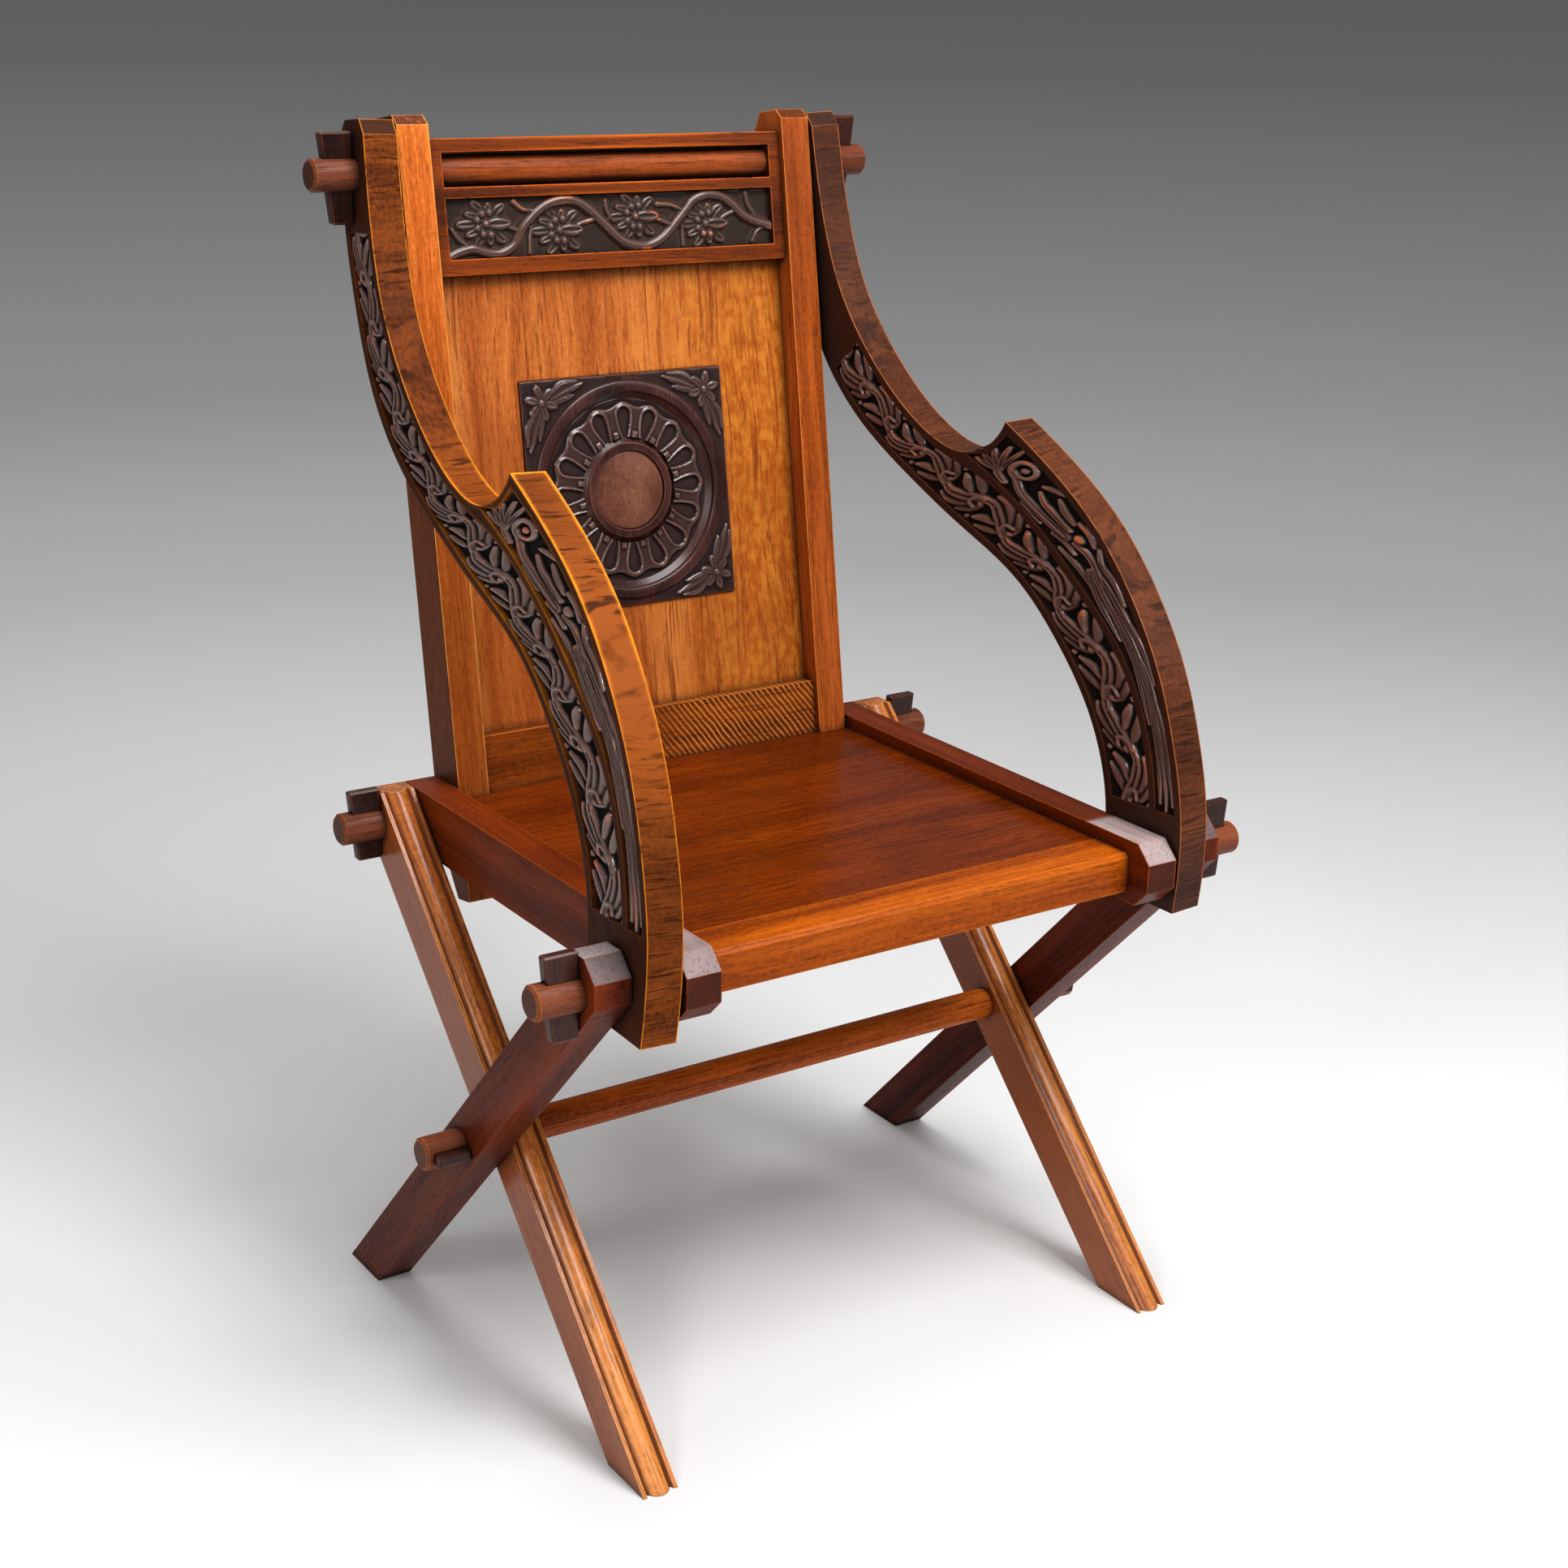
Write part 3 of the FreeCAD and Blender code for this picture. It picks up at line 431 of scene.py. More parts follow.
vine_wax = carving_wax("vine_wax", "352821 211713 52372e b05f37", 0.6)
vine = [([(-147, -21), (-137, -17), (-125, -15), (-113, -18.5), (-101, -19), (-90, -13), (-81, 0), (-63, 14),
          (-44, 19), (-28, 15), (-10, 0), (3, -12), (15, -17.5), (30, -18.5), (45, -12), (64, 5.5),
          (75, 15.5), (91, 19), (106, 14), (120, 2), (133, -4), (149, -8.5)], (4.2, 4.6, 4.2), 4.8, 1),
        ([(-142, 0), (-136, -8), (-127, -15)], (2.0, 2.6, 2.8), 3.4, 1),
        ([(-88, 19), (-80, 13), (-68, 11)], (3.0, 2.6, 2.4), 3.4, 1),
        ([(-77, -20), (-76, -10), (-74, -1)], (2.2, 2.1, 2.0), 3.0, 1),
        ([(-7, 17), (-6, 9), (-1, 1)], (2.2, 2.2, 2.0), 3.0, 1),
        ([(16, -20), (6, -17), (0, -11)], (3.4, 2.8, 2.4), 3.4, 1),
        ([(62, -20), (62, -9), (63, 0)], (2.2, 2.1, 2.0), 3.0, 1),
        ([(40, 13), (52, 12), (62, 8)], (3.0, 2.6, 2.2), 3.2, 1),
        ([(124, 19), (126, 10), (133, -1)], (2.2, 2.2, 2.2), 3.2, 1),
        ([(128, -19), (133, -12), (142, -7)], (2.2, 2.2, 2.2), 3.2, 1)]
leaves = ((-112, 3, -84, -4), (-49, -4, -16, 4), (20, 4, 50, -3), (85, -4, 114, 6))
for leaf_x, leaf_y, stalk_x, stalk_y in leaves:
    halfway = ((leaf_x + 8 + stalk_x) / 2, (leaf_y + stalk_y) / 2 + 1)
    vine.append(([(stalk_x, stalk_y), halfway, (leaf_x + 8, leaf_y)], (2.6, 2.6, 3.2), 3.6, 1))
    for lobe in range(9):
        angle = math.radians(48 + 33 * lobe)
        long_lobe = lobe % 2 == 0
        length = 22 if long_lobe else 18
        half = 5.2 if long_lobe else 4.4
        belly = (leaf_x + length * 0.6 * math.cos(angle), leaf_y + length * 0.54 * math.sin(angle))
        tip = (leaf_x - 1 + length * math.cos(angle), leaf_y + length * 0.78 * math.sin(angle))
        vine.append(([(leaf_x + 3, leaf_y), belly, tip], (2.4, half, half * 0.75), 3.2 + 0.5 * (lobe % 2), 2))
    middle_lobe = [(leaf_x + 18, leaf_y), (leaf_x + 10, leaf_y), (leaf_x + 2, leaf_y)]
    vine.append((middle_lobe, (2.8, 6.8, 4.0), 4.6, 2))
    for berry in range(6):
        angle = math.radians(75 + 42 * berry)
        vine.append(([(leaf_x + 9 * math.cos(angle), leaf_y + 8.5 * math.sin(angle))], (3.9,), 5.0, 1))
    vine.append(([(leaf_x - 1, leaf_y)], (4.2,), 5.0, 1))
half_long = 147.2
half_high = 22.7
band_x, band_y = np.meshgrid(np.linspace(-half_long, half_long, 421), np.linspace(-half_high, half_high, 66))
inside = np.clip(np.minimum(half_long - abs(band_x), half_high - abs(band_y)) / 0.7, 0, 1)
band_height = sunk(inside, carved(band_x, band_y, vine))
vine_piece = carving_sheet("vine_carving", band_x, band_y, band_height, 4.9)
settled(vine_piece, back_place(up=0.4425, out=0.0095), vine_wax)


# Carved tile, let into the middle of the panel: a flat ring, a rosette of sixteen round-headed sunk
# petals inside it, and in each corner a blossom between sprays of long leaves. All of it is cut from one
# block of dark oak. A domed boss is let into its middle.
def tree_node(tree, kind, settings, inputs, output=0):
    """Adds a node to a geometry tree; a socket among the inputs is linked, a value is set."""
    node = tree.nodes.new(kind)
    for name, value in settings.items():
        setattr(node, name, value)
    for name, value in inputs.items():
        if isinstance(value, bpy.types.NodeSocket):
            tree.links.new(value, node.inputs[name])
        else:
            node.inputs[name].default_value = value
    return node.outputs[output]


def tree_maths(tree, operation, *parts):
    """Adds a Math node to a geometry tree."""
    return tree_node(tree, "ShaderNodeMath", {"operation": operation}, dict(enumerate(parts)))


def new_tree(name, sockets):
    """A geometry tree with named inputs, its group input node and its output node."""
    tree = bpy.data.node_groups.new(name, "GeometryNodeTree")
    for label, kind in sockets.items():
        tree.interface.new_socket(label, in_out="INPUT", socket_type=kind)
    tree.interface.new_socket("Carving", in_out="OUTPUT", socket_type="NodeSocketGeometry")
    return tree, tree.nodes.new("NodeGroupInput").outputs, tree.nodes.new("NodeGroupOutput")


def closed(tree, geometry, finish, result):
    """Ends a tree: joins the copies where they meet, gives them their material and hands them out."""
    whole = tree_node(tree, "GeometryNodeMergeByDistance", {}, {"Geometry": geometry, "Distance": 0.02})
    dressed = tree_node(tree, "GeometryNodeSetMaterial", {}, {"Geometry": whole, "Material": finish})
    tree.links.new(dressed, result.inputs["Carving"])


def grown(sheet, name, tree, values):
    """Runs a tree on a sheet and keeps the result as a plain mesh under a new name."""
    modifier = sheet.modifiers.new("growth", "NODES")
    modifier.node_group = tree
    for item in tree.interface.items_tree:
        if item.in_out == "INPUT" and item.name in values:
            modifier[item.identifier] = values[item.name]
    bpy.context.view_layer.update()
    evaluated = sheet.evaluated_get(bpy.context.evaluated_depsgraph_get())
    mesh = bpy.data.meshes.new_from_object(evaluated)
    bpy.data.objects.remove(sheet)
    mesh.shade_smooth()
    return in_scene(name, mesh)


round_tree, given, result = new_tree("copies_in_a_circle", {
    "Unit": "NodeSocketGeometry", "Copies": "NodeSocketInt", "Finish": "NodeSocketMaterial"})
spots = tree_node(round_tree, "GeometryNodeMeshLine", {}, {"Count": given["Copies"], "Offset": (0, 0, 0)})
number = tree_node(round_tree, "GeometryNodeInputIndex", {}, {})
step_angle = tree_maths(round_tree, "DIVIDE", math.tau, given["Copies"])
angle_here = tree_maths(round_tree, "MULTIPLY", number, step_angle)
turn_here = tree_node(round_tree, "ShaderNodeCombineXYZ", {}, {"Z": angle_here})
copies = tree_node(round_tree, "GeometryNodeInstanceOnPoints", {},
                   {"Points": spots, "Instance": given["Unit"], "Rotation": turn_here})
real = tree_node(round_tree, "GeometryNodeRealizeInstances", {}, {"Geometry": copies})
closed(round_tree, real, given["Finish"], result)

tile_wax = carving_wax("tile_wax", "160d0c 2a1a18 594039 784d42", 1.0)
tile_up = 0.2325
tile_face = 0.0045
rosette_depth = 0.0045
rosette_inside = 42.3
rosette_edge = 73.8
petals = 16
half_sector = math.pi / petals
angle, radius = np.meshgrid(np.linspace(-half_sector, half_sector, 33),
                            np.linspace(rosette_inside, rosette_edge, 44))
sector_x = radius * np.sin(angle)
sector_y = radius * np.cos(angle)
scallop = 69.3 + 1.9 * np.cos(petals * angle)
plate = np.clip((scallop - radius) / 1.0, 0, 1)
cup_line = [(0, 43), (0, 52), (0, 60.5)]
cup = np.clip(carved(sector_x, sector_y, [(cup_line, (2.4, 5.0, 6.3), 1.0, 1)]) / 0.4, 0, 1)
lip = np.clip(carved(sector_x, sector_y, [(cup_line, (4.0, 6.8, 8.2), 1.0, 1)]) / 0.5, 0, 1)
arcade = plate * (2.3 + 0.9 * lip - 2.5 * cup)
from_rib = radius * np.sin(half_sector - abs(angle))
tongue = np.clip((2.5 - from_rib) / 0.5, 0, 1) * np.clip((47.5 - radius) / 0.7, 0, 1)
arcade = np.maximum(arcade, 4.1 * tongue)
arcade = sunk(np.clip((rosette_edge - radius) / 0.8, 0, 1), arcade)
sector = carving_sheet("petal_sector", sector_x, sector_y, arcade, 4.1)
rosette = grown(sector, "tile_rosette", round_tree, {"Copies": petals, "Finish": tile_wax})
settled(rosette, back_place(tile_up, tile_face - rosette_depth), tile_wax)

tile_half = 92.4
flower = 75
corner_x, corner_y = np.meshgrid(np.linspace(16, tile_half, 97), np.linspace(16, tile_half, 97))
blossom = []
for petal in range(6):
    angle = math.radians(15 + 60 * petal)
    petal_line = [(flower + out * math.cos(angle), flower + out * math.sin(angle)) for out in (3, 8, 12.5)]
    blossom.append((petal_line, (1.8, 4.3, 2.6), 2.2, 2))
blossom.append(([(flower, flower)], (3.4,), 2.9, 1))
for leaf in ([(77, 66), (82, 54), (88, 37)], [(81, 66), (88, 56), (90, 42)], [(74, 66), (77, 57), (79, 46)]):
    blossom.append((leaf, (1.8, 3.6, 1.0), 2.1, 3))
    blossom.append(([(y, x) for x, y in leaf], (1.8, 3.6, 1.0), 2.1, 3))
from_middle = np.hypot(corner_x, corner_y)
within = np.clip((tile_half - np.maximum(corner_x, corner_y)) / 0.7, 0, 1)
within = within * np.clip((from_middle - 86.4) / 0.7, 0, 1)
corner_height = sunk(within, carved(corner_x, corner_y, blossom))
corner = carving_sheet("corner_blossom", corner_x, corner_y, corner_height, 2.9, from_middle > 84)
corners = grown(corner, "tile_corners", round_tree, {"Copies": 4, "Finish": tile_wax})
settled(corners, back_place(tile_up, tile_face), tile_wax)

ring_profile = [(87.4, -0.6), (87.4, 1.5), (86.8, 2.3), (85.8, 2.6), (79.6, 2.6), (78.7, 2.2), (78.3, 1.5),
                (78.1, -0.6)]
ring_form = bmesh.new()
ring_corners = [ring_form.verts.new((radius, 0, height)) for radius, height in ring_profile]
ring_edges = [ring_form.edges.new((first, second)) for first, second in zip(ring_corners, ring_corners[1:])]
bmesh.ops.spin(ring_form, geom=ring_corners + ring_edges, cent=(0, 0, 0), axis=(0, 0, 1), angle=math.tau,
               steps=128, use_merge=True)
bmesh.ops.remove_doubles(ring_form, verts=ring_form.verts, dist=0.01)
bmesh.ops.recalc_face_normals(ring_form, faces=ring_form.faces)
ring_mesh = bpy.data.meshes.new("tile_ring")
ring_form.to_mesh(ring_mesh)
ring_form.free()
ring_mesh.shade_smooth()
ring = in_scene("tile_ring", ring_mesh)
tile_oak = oak("tile_oak", up_the_back, "210f0d 3c1f1a 4b2a25 7c4733", rough=0.28, polish=0.5)
settled(ring, back_place(tile_up, tile_face), tile_oak)
dress(tile_oak, "carved_tile")
dress(oak("boss_wood", up_the_back, "4d2c22 6e4232 81523d 9c664d", board=(1, 1, 0.5), streaks=0.25,
          rough=0.26), "tile_boss")


# Seat: side rails, front and rear rails, and a flat panel with the grain from side to side, all of oak,
# rubbed and waxed until it shines. The front rail's tenons pass out through the sides and take keys.
def painted_sheen_on_heads(finish, color):
    """Greyer on the upper facets of the eight-sided heads at the front: a painted reflection of the light
    from above.
    """
    at_front = 1 - finish.part_of(finish.seat, "Y").above(-0.186, -0.176)
    # Painted reflection: pale grey on the facets that look up.
    return finish.blended(at_front * facing_up(finish, 0.3, 0.6) * 0.6, color, tone("bbb0b0"))


def dark_tenons(finish, color):
    """Darker on the ends of the tenons, outside the legs."""
    return finish.blended(finish.size_of(finish.seat, "X").above(0.244, 0.25) * 0.7, color, tone("593c33"))


dress(oak("seat_oak", across, "360e00 662400 7b3201 994503", rough=0.24, bands=0.3, shade_and_grime=1.0),
      "seat_panel", "seat_rear_rail")
dress(oak("side_rail_oak", (math.pi / 2, 0, 0), "3b0f01 5f2003 762c04 a2490a", streaks=0.4, pits=0.1,
          rays=painted_sheen_on_heads), "seat_side_rail_left", "seat_side_rail_right")
dress(oak("front_rail_oak", across, "6f2901 a04805 bb5b09 d17313", streaks=0.5, rays=dark_tenons),
      "seat_front_rail")


# Legs: straight oak members, held on round pins and on the stretcher where they cross. The inner ones
# carry a wide bead between two fillets down the front edge, and the outer ones are plain and darker.
inner_slope = math.atan2(373.0, pin_height)
outer_slope = math.atan2(352.5, pin_height)
dress(oak("inner_leg_oak", (inner_slope, 0, 0), "59250d ad5f25 d8873e f3a056", rough=0.24, polish=0.5,
          flank=tone("8a4218")), "inner_leg_left", "inner_leg_right")
dress(oak("outer_leg_oak", (-outer_slope, 0, 0), "300d04 5d220e 732e12 8c3916", streaks=0.4, pits=0.12,
          polish=0.0, rays=painted_sheen_on_heads), "outer_leg_left", "outer_leg_right")
dress(oak("stretcher_oak", across, "682a0a ab4d13 c66418 e07321", rays=dark_tenons), "stretcher")


# Arms: each sawn from one oak board in a long sweep, so the rings cross its edges. A long and a short
# channel are sunk in both faces, one each side of a thin fillet. The sitter's right arm is more rubbed.
arm_slope = math.atan2(0.6732, 0.7394)
arm_wood = {"board": (0.04, 1, 0.04), "bands": 0.35, "hairs": 900, "pits": 0.2, "flank": tone("301a13"),
            "rays": dark_top}
handled = [((-0.2, -0.07, 0.64), 0.2), ((-0.2, 0.02, 0.62), 0.1), ((-0.21, -0.2, 0.52), 0.16)]
dress(oak("arm_oak_right", (arm_slope, 0, 0), "280f06 733711 8a4516 fb9525", streaks=0.85, rough=0.5,
          polish=0.0, sheen=0.03, rubbed=handled, **arm_wood), "arm_right")
dress(oak("arm_oak_left", (arm_slope, 0, 0), "230f08 4b2512 68371c cf7130", streaks=0.8, rough=0.46,
          polish=0.02, sheen=0.1, **arm_wood), "arm_left")

arm_wax = carving_wax("arm_wax", "050301 180e0c 835f54 c66233", 1.0)
front_pin = np.array((41.5, pin_height))
pin_distance = 486
top_pin = np.array((rear_pin_depth + pin_distance * math.sin(back_lean),
                    pin_height + pin_distance * math.cos(back_lean)))
arm_span = float(np.hypot(*(top_pin - front_pin)))
arm_along = Vector((0, *((top_pin - front_pin) / arm_span)))
arm_across = Vector((0, -arm_along.z, arm_along.y))
arm_foot_side = 216.4
arm_top_side = 185.8
arm_thickness = 27.0
channel_depth = 4.0
arm_lean = math.asin((arm_foot_side - arm_top_side) / arm_span)
out_of_arm = Vector((1, 0, 0)) * math.cos(arm_lean) + arm_along * math.sin(arm_lean)
up_the_arm = arm_along * math.cos(arm_lean) - Vector((1, 0, 0)) * math.sin(arm_lean)


def arm_place(depth, way, side):
    """Place on a face of an arm: x up the arm, y towards its front and z out of the face."""
    matrix = Matrix((up_the_arm, arm_across, out_of_arm * way)).transposed().to_4x4()
    foot = Vector((arm_foot_side, front_pin[0] - origin_depth, front_pin[1]))
    matrix.translation = foot + out_of_arm * depth
    return Matrix.Diagonal((side, 1, 1, 1)) @ Matrix.Scale(millimetre, 4) @ matrix


def beside(shares, distance):
    """Line of the arm moved square to itself, to the left of the way it runs."""
    points = np.array(shares) * arm_span
    ahead = np.array([points[min(index + 1, len(points) - 1)] - points[max(index - 1, 0)]
                      for index in range(len(points))])
    square = np.stack([-ahead[:, 1], ahead[:, 0]], axis=1) / np.linalg.norm(ahead, axis=1)[:, None]
    return points + square * distance


def eased(points):
    """Points of the even curve that passes through the given ones, as a thin batten would."""
    steps = 480
    reached = np.concatenate([[0], np.cumsum(np.linalg.norm(np.diff(points, axis=0), axis=1))])
    gaps = np.diff(reached)
    slopes = np.diff(points, axis=0) / gaps[:, None]
    last = len(points) - 1
    system = np.eye(last + 1)
    turning = np.zeros_like(points)
    for index in range(1, last):
        system[index, index - 1:index + 2] = gaps[index - 1], 2 * (gaps[index - 1] + gaps[index]), gaps[index]
        turning[index] = 6 * (slopes[index] - slopes[index - 1])
    bends = np.linalg.solve(system, turning)
    spots = np.linspace(0, reached[-1], steps)
    span = np.clip(np.searchsorted(reached, spots, side="right") - 1, 0, last - 1)
    gap = gaps[span][:, None]
    before_spot = (spots - reached[span])[:, None]
    after_spot = gap - before_spot
    curved = (bends[span] * after_spot ** 3 + bends[span + 1] * before_spot ** 3) / (6 * gap)
    start = (points[span] / gap - bends[span] * gap / 6) * after_spot
    return curved + start + (points[span + 1] / gap - bends[span + 1] * gap / 6) * before_spot


def between_stops(points, foot, head):
    """The part of a line, drawn from the foot upwards, between the lines where a channel stops. It runs on
    a little, so that the carving's ends dip under the wood there."""
    spare = 1.0
    line = eased(points)
    kept = np.ones(len(line), bool)
    for stop, way in ((foot, 1), (head, -1)):
        (low_along, low_across), (high_along, high_across) = np.array(stop) * arm_span
        slant = (high_along - low_along) / (high_across - low_across)
        kept &= way * (line[:, 0] - low_along - (line[:, 1] - low_across) * slant) > -spare
    return line[kept]


def guide(name, line):
    """Curve object that a carving follows."""
    curve = bpy.data.curves.new(name, "CURVE")
    curve.dimensions = "3D"
    spline = curve.splines.new("POLY")
    spline.points.add(len(line) - 1)
    for point, place in zip(spline.points, line):
        point.co = (*place, 0, 1)
    return in_scene(name, curve)


sweep = [(1.014, 0.053), (0.942, 0.010), (0.833, -0.034), (0.704, -0.037), (0.591, -0.005), (0.542, 0.031),
         (0.520, 0.076), (0.523, 0.125)]
front_edge = [(0.523, 0.125), (0.442, 0.155), (0.341, 0.179), (0.243, 0.179), (0.153, 0.161), (0.081, 0.131),
              (0.017, 0.0945), (-0.036, 0.049), (-0.076, 0.004)]
rear_edge = [(0.0625, -0.0275), (0.117, 0.009), (0.181, 0.030), (0.264, 0.035), (0.367, 0.020),
             (0.470, -0.027), (0.577, -0.0755), (0.687, -0.113), (0.780, -0.120), (0.878, -0.097),
             (0.958, -0.064), (1.015, -0.031), (1.053, -0.004)]
fillet = [(0.532, 0.034), (0.475, 0.061), (0.390, 0.091), (0.300, 0.109), (0.200, 0.119), (0.110, 0.096),
          (0.045, 0.058), (0.000, 0.020)]
foot_stop = [(0.178, -0.114), (-0.032, 0.136)]
outer_head_stop = [(1.0425, -0.167), (0.8625, 0.073)]
inner_head_stop = [(0.759, -0.180), (0.758, 0.060)]
elbow_stop = [(0.700, -0.180), (0.699, 0.180)]
border = 6.5
half_fillet = 3.25

rear_line = beside(rear_edge, border)
behind = np.concatenate([beside(sweep, border)[:5], beside(fillet, half_fillet)[1:]])[::-1]
before = beside(fillet, -half_fillet)[::-1]
front_line = beside(front_edge, border)
front_line[0] = beside(sweep, border)[-1] + front_line[0] - np.array(front_edge[0]) * arm_span
scroll_lines = {face: (guide(face + "_rear", between_stops(rear_line, foot_stop, stop)),
                       guide(face + "_fillet", between_stops(behind, foot_stop, stop)))
                for face, stop in (("outer", outer_head_stop), ("inner", inner_head_stop))}
short_lines = (guide("short_fillet", between_stops(before, foot_stop, elbow_stop)),
               guide("short_front", between_stops(front_line[::-1], foot_stop, elbow_stop)))

channel_tree, given, result = new_tree("carving_along_a_channel", {
    "Unit": "NodeSocketGeometry", "Repeats": "NodeSocketInt", "Rear line": "NodeSocketObject",
    "Front line": "NodeSocketObject", "Sway": "NodeSocketFloat", "Finish": "NodeSocketMaterial"})
row = tree_node(channel_tree, "GeometryNodeMeshLine", {}, {"Count": given["Repeats"], "Offset": (1, 0, 0)})
copies = tree_node(channel_tree, "GeometryNodeInstanceOnPoints", {},
                   {"Points": row, "Instance": given["Unit"]})
real = tree_node(channel_tree, "GeometryNodeRealizeInstances", {}, {"Geometry": copies})
apart = channel_tree.nodes.new("ShaderNodeSeparateXYZ").outputs
channel_tree.links.new(tree_node(channel_tree, "GeometryNodeInputPosition", {}, {}), apart[0].node.inputs[0])
share = tree_maths(channel_tree, "DIVIDE", apart["X"], given["Repeats"])
line_points = []
for label in ("Rear line", "Front line"):
    curve = tree_node(channel_tree, "GeometryNodeObjectInfo", {}, {"Object": given[label]}, "Geometry")
    line_points.append(tree_node(channel_tree, "GeometryNodeSampleCurve", {"mode": "FACTOR"},
                                 {"Curves": curve, "Factor": share}, "Position"))
drift = tree_node(channel_tree, "ShaderNodeTexNoise", {"noise_dimensions": "1D"},
                  {"W": apart["X"], "Scale": given["Sway"], "Detail": 1.0})
drift = tree_maths(channel_tree, "MULTIPLY_ADD", drift, 0.5, -0.25)
square_share = tree_maths(channel_tree, "MULTIPLY", apart["Y"], apart["Y"])
freedom = tree_maths(channel_tree, "SUBTRACT", 1.0, square_share)
swayed_share = tree_maths(channel_tree, "MULTIPLY_ADD", drift, freedom, apart["Y"])
width_share = tree_maths(channel_tree, "MULTIPLY_ADD", swayed_share, 0.5, 0.5)
level_point = tree_node(channel_tree, "ShaderNodeMix", {"data_type": "VECTOR", "clamp_factor": False},
                        {0: width_share, 4: line_points[0], 5: line_points[1]}, 1)
rise = tree_node(channel_tree, "ShaderNodeCombineXYZ", {}, {"Z": apart["Z"]})
raised = tree_node(channel_tree, "ShaderNodeVectorMath", {"operation": "ADD"}, {0: level_point, 1: rise})
bent = tree_node(channel_tree, "GeometryNodeSetPosition", {}, {"Geometry": real, "Position": raised})
closed(channel_tree, bent, given["Finish"], result)


# Leaf scroll of the long channel: a line of long leaves that swings from side to side, with lobes in
# each bend, small ones along the borders and berries, cut in the oak of the arm. It repeats eight times
# on the outer faces and six times on the inner ones, which stop lower.
def channel_sheet(name, length, strokes):
    """Carving of a channel drawn flat, with x as a share of its length and y from -1 to 1 across it. The
    sheet is a little wider than the channel, so that its edges dip under the borders."""
    channel_half = 20
    sheet_half = 20.5
    step = 0.85
    x, y = np.meshgrid(np.linspace(0, length, int(length / step) + 1),
                       np.linspace(-sheet_half, sheet_half, int(2 * sheet_half / step) + 1))
    height = sunk(np.clip((sheet_half - abs(y)) / 0.9, 0, 1), carved(x, y, strokes))
    return carving_sheet(name, x / length, y / channel_half, height, 4.4)


def carve_channels(kind, length, strokes, outer, inner, sway):
    """Carves one channel on both faces of both arms. Outer and inner say between which lines the carving
    of a face lies and how often it repeats, and sway how fast it wanders from side to side."""
    for face, lines, depth, way in (("outer", outer, arm_thickness - channel_depth, 1),
                                    ("inner", inner, channel_depth, -1)):
        (rear_guide, front_guide), repeats = lines
        model = grown(channel_sheet(kind, length, strokes), f"{kind}_{face}_left", channel_tree,
                      {"Repeats": repeats, "Rear line": rear_guide, "Front line": front_guide, "Sway": sway,
                       "Finish": arm_wax})
        twin = in_scene(f"{kind}_{face}_right", model.data.copy())
        settled(model, arm_place(depth, way, 1), arm_wax)
        settled(twin, arm_place(depth, way, -1), arm_wax)


unit_length = 76.0
half_unit = unit_length / 2
leaf_scroll = []
for turn in range(-2, 4):
    middle = half_unit / 2 + half_unit * turn
    way = 1 if turn % 2 == 0 else -1
    for line, halves, crest, ribs in (
            ([(-27, -9), (-15, -5), (-2, 4), (11, 9), (22, 5)], (3.4, 6.6, 3.6), 4.2, 2),
            ([(20, 7), (27, 3), (28, -4), (22, -6)], (3.4, 3.0, 2.6), 4.4, 1),
            ([(-13, 4), (-5, 12), (6, 17), (15, 16)], (2.8, 4.4, 2.4), 3.2, 1),
            ([(-20, 0), (-15, 10), (-7, 18)], (2.6, 4.4, 2.2), 2.7, 1),
            ([(-3, -3), (6, -6), (14, -13)], (2.8, 5.0, 2.4), 3.5, 1),
            ([(-12, -8), (-4, -13), (6, -18)], (2.8, 4.8, 2.4), 2.9, 1)):
        leaf_scroll.append(([(middle + x, way * y) for x, y in line], halves, crest, ribs))
    leaf_scroll.append(([(middle + 20, way * 0.5)], (3.8,), 4.3, 1))
    leaf_scroll.append(([(middle + 19, -way * 17)], (2.8,), 2.6, 1))
carve_channels("scroll", unit_length, leaf_scroll, outer=(scroll_lines["outer"], 8),
               inner=(scroll_lines["inner"], 6), sway=1.7)


# Carving of the short channel, cut in the oak of the arm: long reeds in tiers up from the foot, a bud
# between leaves, a stem that rolls up into a volute round a ball below the elbow, and a spray of small
# leaves in the corner above.
short_length = 330.0
feathers = []
for foot, lean in ((2, 0), (30, 1), (60, -1), (92, 1), (124, -1)):
    for feather in range(3):
        y = 13.0 * (feather - 1)
        tip_x = foot + 5 * abs(feather - 1)
        feathers.append(([(foot + 66, y * 0.3), (foot + 36, y * 0.75 + lean * 3), (tip_x, y + lean * 2)],
                         (2.2, 5.6, 2.4), 3.2 + 0.4 * (feather % 2) + foot * 0.003, 2))
feathers += [
    ([(160, -14), (178, -10), (198, -13), (214, -17)], (3.0, 4.2, 2.4), 3.4, 2),
    ([(158, 13), (176, 14), (192, 11), (204, 16)], (2.6, 4.0, 2.0), 3.3, 2),
    ([(168, -3), (184, 3), (200, 4), (214, -1)], (3.0, 4.8, 3.0), 3.8, 2),
    ([(216, 5)], (5.2,), 4.2, 1),
    ([(206, -8), (217, -8), (228, -13)], (2.6, 4.0, 2.2), 3.4, 1),
    ([(207, 13), (218, 16), (229, 14)], (2.4, 3.8, 2.0), 3.2, 1),
    ([(222, -4), (236, -8), (252, -12), (272, -12), (288, -6)], (6.0, 5.4, 4.0), 4.0, 3),
    ([(226, 3), (240, 0), (254, -2), (266, 2)], (3.4, 4.4, 2.2), 3.6, 2),
    ([(230, 10), (243, 9), (254, 12)], (2.6, 4.0, 2.0), 3.2, 2),
    ([(240, -18), (252, -19), (264, -19)], (1.8, 2.6, 1.6), 2.6, 1)]
volute = []
